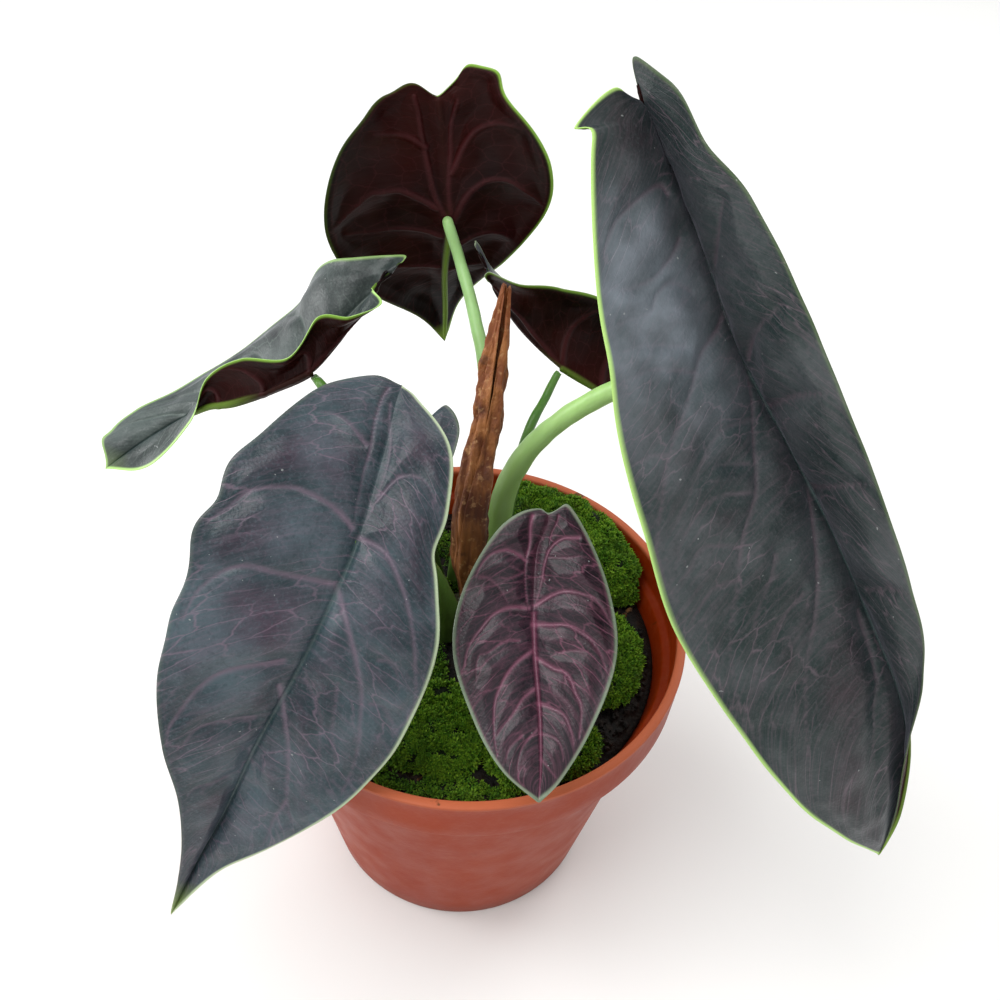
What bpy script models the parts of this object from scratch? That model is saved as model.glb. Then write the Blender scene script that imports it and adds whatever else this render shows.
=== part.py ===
"""Potted alocasia: a small plant with leathery peltate leaves in a thin round nursery pot.

Lengths below are in millimetres; the objects are built in metres.
The origin is the centre of the pot's base, on the floor, with +Z up and the front of the plant at -Y.
"""

import math

import bpy
import numpy as np

MM = 0.001

# ---------------------------------------------------------------- pot
POT_RIM_RADIUS = 60.0
POT_HEIGHT = 95.0
POT_BASE_RADIUS = 41.0
POT_BAND_HEIGHT = 14.0
POT_WALL_TOP_RADIUS = 54.5
POT_WALL = 1.5
POT_BASE_THICKNESS = 1.8
DRAIN_HOLES = 6
DRAIN_HOLE_RADIUS = 4.0
DRAIN_RING_RADIUS = 28.0
POT_SEGMENTS = 60

# ---------------------------------------------------------------- soil, crown and moss
GAP = 0.3
SOIL_LEVEL = 83.0
SOIL_MOUND = 4.0
CROWN_X = -1.0
CROWN_Y = 7.0
CROWN_BOTTOM = 66.0
CROWN_TOP = 91.5
CROWN_RADIUS = 6.0

# No cushion reaches further from the pot's axis than this, so each stays off the wall.
MOSS_REACH = 52.3
# name: centre x, centre y, half length, half width, turn in degrees, height over the soil
MOSS = {
    "moss_back_right": (23.0, 31.0, 22.0, 15.0, -40.0, 15.0),
    "moss_right": (38.0, -5.0, 17.0, 10.0, 80.0, 6.0),
    "moss_front_right": (22.0, -35.0, 15.0, 10.0, 25.0, 7.0),
    "moss_front": (-7.0, -31.0, 16.0, 13.0, 0.0, 7.0),
    "moss_back_left": (-26.0, 34.0, 13.0, 9.0, 40.0, 6.0),
}

# ---------------------------------------------------------------- leaves
BLADE_THICKNESS = 0.9
BLADE_STEPS = 2
BLADE_COLUMNS = 5
PETIOLE_SIDES = 10
PETIOLE_STEPS = 4

# Each blade is drawn by stations from the notch between its lobes to its tip.
# A station is a point on the left margin, one on the midrib and one on the right margin,
# left and right as seen from the leaf's upper side with the tip pointing away.
# The petiole runs from the crown to the blade's underside, with one radius per point.
LEAVES = {
    "front_left": dict(
        notch=(-18, 3, 171), tip=(-69, -73, 56),
        stations=[
            ((-14, 1, 169), (-19, -1, 169), (-25, 3, 173)),
            ((-7, -8, 165), (-20, -10, 165), (-36, -4, 174)),
            ((-5, -22, 157), (-22, -21, 159), (-47, -20, 171)),
            ((-6, -34, 147), (-25, -32, 151), (-55, -35, 163)),
            ((-5, -44, 135), (-31, -43, 139), (-59, -47, 150)),
            ((-9, -51, 121), (-37, -50, 127), (-64, -56, 135)),
            ((-18, -59, 105), (-45, -56, 111), (-64, -63, 118)),
            ((-34, -66, 90), (-54, -62, 89), (-62, -67, 99)),
            ((-55, -69, 74), (-62, -67, 72), (-64, -70, 78)),
        ],
        petiole=[(-7, -1, 90), (-10, -5, 104), (-16, -15, 130), (-25, -29, 151)],
        radii=[5.0, 3.6, 2.6, 2.0],
    ),
    "front_small": dict(
        notch=(18, -9, 145), tip=(20, -64, 108),
        stations=[
            ((23, -8, 146), (18, -11, 143), (14, -8, 146)),
            ((29, -14, 141), (16, -15, 138), (6, -14, 143)),
            ((34, -24, 134), (16, -24, 131), (-1, -26, 134)),
            ((36, -36, 126), (17, -34, 124), (-2, -38, 126)),
            ((31, -50, 117), (19, -46, 117), (4, -50, 117)),
            ((25, -59, 110), (20, -57, 112), (11, -59, 112)),
        ],
        petiole=[(4, -3, 90), (6, -6, 102), (10, -13, 117), (16, -24, 131)],
        radii=[3.2, 2.2, 1.8, 1.5],
    ),
    "right_large": dict(
        notch=(29, 21, 233), tip=(105, -58, 85),
        stations=[
            ((26, 22, 242), (32, 21, 230), (20, 14, 237)),
            ((32, 15, 240), (35, 19, 225), (19, 8, 231)),
            ((40, 7, 233), (40, 16, 216), (20, 2, 222)),
            ((50, 0, 226), (47, 9, 204), (22, -7, 209)),
            ((59, -9, 215), (56, 1, 188), (26, -17, 196)),
            ((71, -20, 198), (68, -9, 173), (30, -26, 182)),
            ((83, -29, 179), (80, -20, 158), (37, -36, 166)),
            ((94, -37, 159), (91, -31, 142), (45, -45, 149)),
            ((101, -42, 143), (101, -40, 126), (59, -53, 131)),
            ((103, -49, 121), (106, -46, 112), (77, -59, 110)),
            ((105, -54, 102), (107, -53, 97), (94, -60, 94)),
        ],
        petiole=[(9, 12, 90), (7, 15, 106), (7, 18, 122), (11, 19, 136), (19, 18, 150),
                 (31, 15, 164), (45, 10, 176), (56, 1, 188)],
        radii=[4.6, 3.8, 3.2, 2.9, 2.6, 2.4, 2.2, 2.0],
    ),
    "back_tall": dict(
        notch=(-17, 73, 208), tip=(-14, 77, 130),
        stations=[
            ((-25, 69, 213), (-16, 72, 205), (-8, 71, 216)),
            ((-35, 60, 207), (-15, 72, 194), (3, 64, 211)),
            ((-42, 53, 193), (-14, 70, 183), (13, 61, 198)),
            ((-44, 57, 175), (-13, 70, 171), (13, 66, 182)),
            ((-37, 65, 155), (-14, 72, 158), (3, 73, 162)),
            ((-22, 76, 139), (-14, 76, 143), (-9, 79, 145)),
        ],
        petiole=[(-4, 18, 90), (-3, 25, 115), (0, 37, 145), (-4, 50, 158), (-9, 62, 167),
                 (-14, 70, 175)],
        radii=[3.4, 2.4, 1.9, 1.7, 1.6, 1.5],
    ),
    "left_curled": dict(
        notch=(-31, 48, 166), tip=(-105, 27, 114),
        stations=[
            ((-28, 42, 166), (-35, 45, 160), (-25, 56, 171)),
            ((-35, 37, 164), (-40, 41, 153), (-37, 56, 170)),
            ((-44, 38, 163), (-47, 37, 146), (-47, 62, 163)),
            ((-52, 34, 152), (-57, 36, 140), (-54, 61, 151)),
            ((-65, 37, 149), (-68, 35, 135), (-68, 58, 139)),
            ((-75, 36, 142), (-76, 36, 132), (-87, 48, 128)),
            ((-80, 31, 130), (-84, 36, 127), (-99, 42, 123)),
            ((-92, 26, 117), (-95, 33, 120), (-105, 36, 120)),
        ],
        petiole=[(-10, 14, 90), (-15, 18, 108), (-28, 28, 124), (-42, 32, 144), (-47, 37, 146)],
        radii=[3.0, 2.0, 1.6, 1.4, 1.2],
    ),
    "back_right": dict(
        notch=(0, 61, 162), tip=(51, 49, 124),
        stations=[
            ((-4, 63, 171), (3, 60, 157), (-1, 58, 168)),
            ((4, 71, 156), (10, 56, 150), (7, 53, 168)),
            ((16, 78, 150), (21, 51, 143), (18, 52, 168)),
            ((33, 71, 144), (36, 49, 135), (35, 51, 161)),
        ],
        petiole=[(4, 20, 90), (8, 26, 104), (12, 33, 131), (17, 44, 138), (21, 50, 143)],
        radii=[2.6, 1.8, 1.4, 1.2, 1.1],
    ),
    "behind": dict(
        notch=(-15, 34, 135), tip=(-36, -4, 117),
        stations=[
            ((-10, 37, 138), (-18, 29, 133), (-21, 34, 136)),
            ((-6, 29, 134), (-22, 21, 129), (-31, 26, 133)),
            ((-13, 11, 127), (-28, 8, 124), (-36, 10, 125)),
        ],
        petiole=[(-12, 6, 90), (-17, 8, 103), (-21, 13, 116), (-22, 21, 129)],
        radii=[2.4, 1.6, 1.2, 1.0],
    ),
}

# The dried brown sheath of an old leaf stands in the middle of the crown.
SHEATH = [(0, 8, 92), (-1, 7, 110), (-1, 8, 131), (1, 16, 145), (2, 23, 156), (3, 30, 166), (4, 36, 177)]
SHEATH_WIDTHS = [3.0, 4.2, 4.4, 3.6, 3.3, 2.3, 0.9]
SHEATH_FLATNESS = 0.6


# ---------------------------------------------------------------- scene and materials
def clear_scene():
    for old in list(bpy.data.objects):
        bpy.data.objects.remove(old, do_unlink=True)


def make_material(name, colour, roughness):
    material = bpy.data.materials.new(name)
    material.use_nodes = True
    shader = material.node_tree.nodes["Principled BSDF"]
    shader.inputs["Base Color"].default_value = (*colour, 1.0)
    shader.inputs["Roughness"].default_value = roughness
    shader.inputs["Metallic"].default_value = 0.0
    return material


def terracotta_plastic():
    return make_material("pot_plastic", (0.36, 0.11, 0.045), 0.5)


def potting_mix():
    return make_material("potting_mix", (0.012, 0.009, 0.006), 0.95)


def plant_crown():
    return make_material("crown", (0.035, 0.04, 0.012), 0.7)


def moss_cushion():
    return make_material("moss", (0.03, 0.10, 0.008), 0.9)


def leaf_blade():
    return make_material("leaf_blade", (0.045, 0.04, 0.05), 0.4)


def leaf_petiole():
    return make_material("petiole", (0.25, 0.42, 0.14), 0.4)


def dried_sheath():
    return make_material("dried_sheath", (0.22, 0.07, 0.02), 0.8)


# ---------------------------------------------------------------- mesh helpers
def add_mesh(name, points, faces, material):
    """One object from points in millimetres, with doubled points merged and faces turned outward."""
    mesh = bpy.data.meshes.new(name)
    mesh.from_pydata([tuple(float(c) * MM for c in p) for p in points], [], faces)
    mesh.materials.append(material)
    piece = bpy.data.objects.new(name, mesh)
    bpy.context.collection.objects.link(piece)
    bpy.ops.object.select_all(action="DESELECT")
    piece.select_set(True)
    bpy.context.view_layer.objects.active = piece
    bpy.ops.object.mode_set(mode="EDIT")
    bpy.ops.mesh.select_all(action="SELECT")
    bpy.ops.mesh.remove_doubles(threshold=0.00001)
    bpy.ops.mesh.dissolve_degenerate(threshold=0.00001)
    bpy.ops.mesh.normals_make_consistent(inside=False)
    bpy.ops.object.mode_set(mode="OBJECT")
    return piece


def smooth_rail(points, steps):
    """A curve through every point, with the given number of steps between neighbours."""
    path = np.array(points, dtype=float)
    path = np.vstack([2 * path[0] - path[1], path, 2 * path[-1] - path[-2]])
    rail = []
    for i in range(1, len(path) - 2):
        before, start, end, after = path[i - 1:i + 3]
        for k in range(steps):
            t = k / steps
            rail.append(0.5 * (2 * start + (end - before) * t
                               + (2 * before - 5 * start + 4 * end - after) * t * t
                               + (3 * start - before - 3 * end + after) * t ** 3))
    rail.append(path[-2])
    return np.array(rail)


def ring_faces(rings, sides, closed_ends):
    """Quads between rings that follow each other, and optional end caps."""
    faces = []
    for r in range(rings - 1):
        for s in range(sides):
            t = (s + 1) % sides
            faces.append((r * sides + s, r * sides + t, (r + 1) * sides + t, (r + 1) * sides + s))
    if closed_ends:
        faces.append(tuple(range(sides - 1, -1, -1)))
        faces.append(tuple(range((rings - 1) * sides, rings * sides)))
    return faces


def tube(name, points, radii, flatness, material):
    """A tapered stalk along a smooth curve, with flat ends."""
    axis = smooth_rail(points, PETIOLE_STEPS)
    stations = np.linspace(0, len(radii) - 1, len(axis))
    thickness = np.interp(stations, np.arange(len(radii)), radii)
    along = np.gradient(axis, axis=0)
    along /= np.linalg.norm(along, axis=1)[:, None]
    ring_points = []
    for centre, direction, radius in zip(axis, along, thickness):
        side = np.cross(direction, (0.0, 1.0, 0.2))
        side /= np.linalg.norm(side)
        front = np.cross(side, direction)
        for s in range(PETIOLE_SIDES):
            turn = math.tau * s / PETIOLE_SIDES
            ring_points.append(centre + radius * (math.cos(turn) * side
                                                  + flatness * math.sin(turn) * front))
    return add_mesh(name, ring_points, ring_faces(len(axis), PETIOLE_SIDES, True), material)


def turned(name, profile, segments, centre, material):
    """A solid of revolution. Its first and last profile points carry flat round ends."""
    points = []
    for radius, height in profile:
        for s in range(segments):
            turn = math.tau * s / segments
            points.append((centre[0] + radius * math.cos(turn),
                           centre[1] + radius * math.sin(turn), height))
    return add_mesh(name, points, ring_faces(len(profile), segments, True), material)


def cut(body, tool):
    """Take the tool's volume out of the body, then remove the tool."""
    tool.hide_render = True
    tool.display_type = "WIRE"
    boolean = body.modifiers.new("cut", "BOOLEAN")
    boolean.operation = "DIFFERENCE"
    boolean.solver = "EXACT"
    boolean.object = tool
    bpy.ops.object.select_all(action="DESELECT")
    body.select_set(True)
    bpy.context.view_layer.objects.active = body
    bpy.ops.object.modifier_apply(modifier=boolean.name)
    bpy.data.objects.remove(tool, do_unlink=True)


# ---------------------------------------------------------------- pot
def pot_inner_radius(height):
    """Radius of the tapered wall's inner face at a height."""
    wall_top = POT_HEIGHT - POT_BAND_HEIGHT
    slope = (POT_WALL_TOP_RADIUS - POT_BASE_RADIUS) / wall_top
    return POT_BASE_RADIUS - POT_WALL + slope * height


def make_pot(material):
    band_bottom = POT_HEIGHT - POT_BAND_HEIGHT
    ledge = POT_HEIGHT - 9.0
    profile = [
        (POT_BASE_RADIUS - 1.5, 0.0),
        (POT_BASE_RADIUS, 1.5),
        (POT_WALL_TOP_RADIUS, band_bottom),
        (POT_RIM_RADIUS - 0.8, band_bottom),
        (POT_RIM_RADIUS - 0.5, band_bottom + 0.8),
        (POT_RIM_RADIUS, POT_HEIGHT - 0.8),
        (POT_RIM_RADIUS - 0.8, POT_HEIGHT),
        (POT_RIM_RADIUS - 2.0, POT_HEIGHT),
        (POT_RIM_RADIUS - 2.5, POT_HEIGHT - 0.6),
        (POT_RIM_RADIUS - 2.8, ledge),
        (POT_RIM_RADIUS - 5.2, ledge - 0.8),
        (pot_inner_radius(band_bottom), band_bottom),
        (pot_inner_radius(POT_BASE_THICKNESS), POT_BASE_THICKNESS),
    ]
    pot = turned("pot", profile, POT_SEGMENTS, (0.0, 0.0), material)
    for k in range(DRAIN_HOLES):
        turn = math.tau * (k + 0.5) / DRAIN_HOLES
        centre = (DRAIN_RING_RADIUS * math.cos(turn), DRAIN_RING_RADIUS * math.sin(turn))
        tool = [(DRAIN_HOLE_RADIUS, -1.0), (DRAIN_HOLE_RADIUS, 4.0)]
        cut(pot, turned("drain_tool", tool, 16, centre, material))
    return pot


# ---------------------------------------------------------------- soil, crown and moss
def soil_height(x, y):
    """The soil lies level and rises a little round the crown."""
    away = (x - CROWN_X) ** 2 + (y - CROWN_Y) ** 2
    return SOIL_LEVEL + SOIL_MOUND * math.exp(-away / 400.0)


def crown_profile(extra):
    """The crown's side, or with some extra all round the hole it sits in."""
    return [
        (CROWN_RADIUS * 0.6, CROWN_BOTTOM - extra),
        (CROWN_RADIUS + 2.0 + extra, CROWN_BOTTOM + 7.0),
        (CROWN_RADIUS + extra, 84.0),
        (CROWN_RADIUS - 1.5 + extra, CROWN_TOP + 2.0 * extra),
    ]


def make_crown(material):
    return turned("crown", crown_profile(0.0), 24, (CROWN_X, CROWN_Y), material)


def make_soil(material):
    floor = POT_BASE_THICKNESS + GAP
    edge = [(pot_inner_radius(floor) - GAP, floor),
            (pot_inner_radius(POT_HEIGHT - POT_BAND_HEIGHT) - GAP, SOIL_LEVEL - 2.0)]
    rings = [0.98, 0.8, 0.6, 0.45, 0.3, 0.15]
    outer = edge[-1][0]
    points = []
    for radius, height in edge:
        for s in range(48):
            turn = math.tau * s / 48
            points.append((radius * math.cos(turn), radius * math.sin(turn), height))
    for share in rings:
        for s in range(48):
            turn = math.tau * s / 48
            x = share * outer * math.cos(turn)
            y = share * outer * math.sin(turn)
            points.append((x, y, soil_height(x, y)))
    soil = add_mesh("soil", points, ring_faces(len(edge) + len(rings), 48, True), material)
    cut(soil, turned("crown_tool", crown_profile(GAP), 24, (CROWN_X, CROWN_Y), material))
    return soil


def make_moss(name, place, material):
    """A cushion that lies on the soil: an oval in plan with a rounded, slightly lumpy top."""
    centre_x, centre_y, half_length, half_width, turn, height = place
    turn = math.radians(turn)
    sides = 24
    shares = [0.2, 0.45, 0.7, 0.88, 1.0]

    def ring(share, rise):
        points = []
        for s in range(sides):
            angle = math.tau * s / sides
            reach = share * (1.0 + 0.07 * math.sin(3 * angle + centre_x) + 0.04 * math.sin(5 * angle))
            u = half_length * reach * math.cos(angle)
            v = half_width * reach * math.sin(angle)
            x = centre_x + u * math.cos(turn) - v * math.sin(turn)
            y = centre_y + u * math.sin(turn) + v * math.cos(turn)
            inside = min(1.0, MOSS_REACH / math.hypot(x, y))
            x *= inside
            y *= inside
            lumps = 1.0 + 0.12 * math.sin(0.55 * x + 1.0) * math.cos(0.5 * y)
            points.append((x, y, soil_height(x, y) + GAP + 0.3 + rise * height * lumps))
        return points

    points = []
    for share in shares:
        points += ring(share, 0.0)
    for share in reversed(shares):
        points += ring(share, max(0.10, math.sqrt(1.0 - share * share)))
    return add_mesh(name, points, ring_faces(2 * len(shares), sides, True), material)


# ---------------------------------------------------------------- leaves
def blade_points(leaf):
    """Grid of points on a blade: rows from notch to tip, columns from the left to the right margin."""
    rails = []
    for side in range(3):
        ends = [leaf["notch"]] + [station[side] for station in leaf["stations"]] + [leaf["tip"]]
        rails.append(smooth_rail(ends, BLADE_STEPS))
    left, midrib, right = rails
    direction = np.gradient(midrib, axis=0)
    direction /= np.linalg.norm(direction, axis=1)[:, None]
    rows = []
    for a, m, b, along in zip(left, midrib, right, direction):
        row = []
        for k in range(-BLADE_COLUMNS, BLADE_COLUMNS + 1):
            share = abs(k) / BLADE_COLUMNS
            out = (a if k < 0 else b) - m
            lift = np.cross(along, out) if k < 0 else np.cross(out, along)
            row.append(m + share * out + 0.28 * share * (1.0 - share) * lift)
        rows.append(row)
    return np.array(rows)


def make_blade(name, leaf, material):
    """The blade as a thin sheet, thickened on both sides of its grid."""
    grid = blade_points(leaf)
    rows, columns = grid.shape[:2]
    faces = []
    for r in range(rows - 1):
        for c in range(columns - 1):
            corner = r * columns + c
            faces.append((corner, corner + columns, corner + columns + 1, corner + 1))
    blade = add_mesh(name, grid.reshape(-1, 3), faces, material)
    solidify = blade.modifiers.new("thickness", "SOLIDIFY")
    solidify.thickness = BLADE_THICKNESS * MM
    solidify.offset = 0.0
    bpy.ops.object.modifier_apply(modifier=solidify.name)
    return blade


def petiole_end(leaf):
    """Where the petiole stops: below the blade's midrib, clear of the blade."""
    wanted = np.array(leaf["petiole"][-1], dtype=float)
    grid = blade_points(leaf)
    middle = grid.shape[1] // 2
    row = int(np.argmin(np.linalg.norm(grid[:, middle] - wanted, axis=1)))
    row = min(max(row, 1), grid.shape[0] - 2)
    along = grid[row + 1, middle] - grid[row - 1, middle]
    across = grid[row, middle + 1] - grid[row, middle - 1]
    upper = np.cross(across, along)
    upper /= np.linalg.norm(upper)
    return grid[row, middle] - upper * (BLADE_THICKNESS / 2 + GAP + leaf["radii"][-1])


def make_petiole(name, leaf, material):
    points = leaf["petiole"][:-1] + [tuple(petiole_end(leaf))]
    return tube(name, points, leaf["radii"], 1.0, material)


# ---------------------------------------------------------------- assembly
def main():
    clear_scene()
    make_pot(terracotta_plastic())
    make_soil(potting_mix())
    make_crown(plant_crown())
    for name, place in MOSS.items():
        make_moss(name, place, moss_cushion())
    for name, leaf in LEAVES.items():
        make_blade("leaf_" + name, leaf, leaf_blade())
        make_petiole("petiole_" + name, leaf, leaf_petiole())
    tube("dried_sheath", SHEATH, SHEATH_WIDTHS, SHEATH_FLATNESS, dried_sheath())


main()
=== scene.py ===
# %% [markdown]
# # A potted alocasia
# A young alocasia stands in a thin round nursery pot. Its blades are dark and leathery, with the
# veins pressed into the upper side, and each hangs from a pale stalk that joins its underside.
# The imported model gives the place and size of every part. Each part is made again here with the
# detail that a real one shows: relief along the veins, a pale margin, moss shoots, crumbs of soil.

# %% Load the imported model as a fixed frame
import math

import bpy
import numpy as np
from mathutils import Matrix, Vector, noise
from mathutils.kdtree import KDTree


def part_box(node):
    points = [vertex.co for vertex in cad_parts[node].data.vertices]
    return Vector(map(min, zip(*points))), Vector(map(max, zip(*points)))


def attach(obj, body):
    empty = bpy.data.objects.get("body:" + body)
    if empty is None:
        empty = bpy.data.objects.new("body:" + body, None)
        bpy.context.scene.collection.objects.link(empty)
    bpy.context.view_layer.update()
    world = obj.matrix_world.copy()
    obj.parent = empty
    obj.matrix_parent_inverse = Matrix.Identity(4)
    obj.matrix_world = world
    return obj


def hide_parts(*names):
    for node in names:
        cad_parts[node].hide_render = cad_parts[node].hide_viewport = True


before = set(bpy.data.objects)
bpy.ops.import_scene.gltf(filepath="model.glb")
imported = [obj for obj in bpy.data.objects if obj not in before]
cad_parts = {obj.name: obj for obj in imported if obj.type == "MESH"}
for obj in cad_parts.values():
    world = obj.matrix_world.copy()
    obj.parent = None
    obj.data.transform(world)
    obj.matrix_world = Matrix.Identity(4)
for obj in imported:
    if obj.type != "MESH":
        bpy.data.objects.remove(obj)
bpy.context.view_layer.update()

MM = 0.001
print("nodes in the frame:", len(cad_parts))

# %% [markdown]
# ## Small helpers
# Blender's operators act on whatever is selected, and loading the frame leaves its nodes selected.
# So one helper leaves a single piece selected and active before each operator, and another opens
# it for editing with everything in it selected.

# %% Selection helpers
def take(piece):
    """Leaves one piece selected and active."""
    if bpy.context.object and bpy.context.object.mode != "OBJECT":
        bpy.ops.object.mode_set(mode="OBJECT")
    bpy.ops.object.select_all(action="DESELECT")
    piece.select_set(True)
    bpy.context.view_layer.objects.active = piece


def open_mesh(piece):
    """Opens a piece in edit mode with all of it selected."""
    take(piece)
    bpy.ops.object.mode_set(mode="EDIT")
    bpy.ops.mesh.select_all(action="SELECT")


def close_mesh():
    bpy.ops.object.mode_set(mode="OBJECT")


def added(name):
    """Names the primitive that was added last and puts its place into its mesh."""
    piece = bpy.context.object
    piece.name = name
    piece.data.name = name
    bpy.ops.object.transform_apply(location=True, rotation=True, scale=True)
    return piece


def apply_modifier(piece, kind, **settings):
    """Adds a modifier with its settings and applies it."""
    take(piece)
    bpy.ops.object.modifier_add(type=kind)
    modifier = piece.modifiers[-1]
    for key, value in settings.items():
        setattr(modifier, key, value)
    bpy.ops.object.modifier_apply(modifier=modifier.name)


def points_of(piece):
    """The vertices of a piece as rows of x, y, z."""
    flat = np.empty(len(piece.data.vertices) * 3)
    piece.data.vertices.foreach_get("co", flat)
    return flat.reshape(-1, 3)


def move_points(piece, points):
    piece.data.vertices.foreach_set("co", np.asarray(points, dtype=float).ravel())
    piece.data.update()


def faces_of(piece):
    return len(piece.data.polygons)


print("helpers ready")

# %% [markdown]
# ## Helpers for materials
# Colours are written as they look on a screen and turned to linear light by one function. One more
# function adds a shader node with its settings and links. A material is then a recipe: a ground
# colour, and layers over it that each show where a mask is bright.

# %% Material helpers
def screen(colour):
    """A colour written #rrggbb as linear red, green and blue, with alpha."""
    channels = [int(colour[i:i + 2], 16) / 255 for i in (1, 3, 5)]
    linear = [c / 12.92 if c <= 0.04045 else ((c + 0.055) / 1.055) ** 2.4 for c in channels]
    return (*linear, 1.0)


def add_node(tree, kind, inputs=None, output=0, **settings):
    """Adds a node and gives back one of its outputs.

    An input may be another node's output, a number, or a colour written #rrggbb.
    """
    node = tree.nodes.new(kind)
    for key, value in settings.items():
        setattr(node, key, value)
    for key, value in (inputs or {}).items():
        if isinstance(value, bpy.types.NodeSocket):
            tree.links.new(value, node.inputs[key])
        else:
            node.inputs[key].default_value = screen(value) if isinstance(value, str) else value
    return node.outputs[output]


def fresh_material(name, roughness, ior=1.5):
    material = bpy.data.materials.new(name)
    material.use_nodes = True
    tree = material.node_tree
    shader = tree.nodes["Principled BSDF"]
    shader.inputs["Roughness"].default_value = roughness
    shader.inputs["IOR"].default_value = ior
    return material, tree, shader


def paint(tree, shader, ground, layers):
    """Colours a shader: a ground, then layers of (mask, share, colour) laid over it in turn."""
    colour = ground
    for mask, share, over in layers:
        amount = add_node(tree, "ShaderNodeMath", {0: mask, 1: share}, operation="MULTIPLY", use_clamp=True)
        colour = add_node(tree, "ShaderNodeMix", {0: amount, 6: colour, 7: over}, 2, data_type="RGBA")
    tree.links.new(colour, shader.inputs["Base Color"])


def relief(tree, shader, height, distance, strength=1.0):
    """Bumps the shader's normal by a height that is 1 at the given distance in metres."""
    bump = add_node(tree, "ShaderNodeBump", {"Height": height, "Distance": distance, "Strength": strength})
    tree.links.new(bump, shader.inputs["Normal"])


def patches(tree, size_mm, low=0.35, high=0.65, detail=3.0, stretch=(1, 1, 1)):
    """Soft patches of one size, from 0 to 1, in the piece's own space."""
    place = add_node(tree, "ShaderNodeTexCoord", output="Object")
    place = add_node(tree, "ShaderNodeVectorMath", {0: place, 1: stretch}, operation="MULTIPLY")
    cloud = add_node(tree, "ShaderNodeTexNoise", {"Vector": place, "Scale": 1000 / size_mm, "Detail": detail})
    return add_node(tree, "ShaderNodeMapRange", {"Value": cloud, "From Min": low, "From Max": high})


def stored(tree, name):
    """A number that the modelling left on each point."""
    return add_node(tree, "ShaderNodeAttribute", output="Fac", attribute_name=name)


def height_band(tree, low_mm, high_mm):
    """Rises from 0 to 1 between two heights of the piece."""
    place = add_node(tree, "ShaderNodeTexCoord", output="Object")
    height = add_node(tree, "ShaderNodeSeparateXYZ", {"Vector": place}, "Z")
    return add_node(tree, "ShaderNodeMapRange", {"Value": height, "From Min": low_mm * MM,
                                                 "From Max": high_mm * MM})


print("material helpers ready")

# %% [markdown]
# ## How a blade is drawn
# A blade of this plant is a long shield: two round lobes, a small notch between them, and a tip
# drawn to a point. It could be cut from a plane, but a real blade folds along its midrib and rolls
# at its edges. So each blade is a grid pulled onto three rails in space: the left margin, the
# midrib and the right margin, drawn through a few stations from the notch to the tip. They are the
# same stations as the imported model's, here with many more rows and columns.

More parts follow.
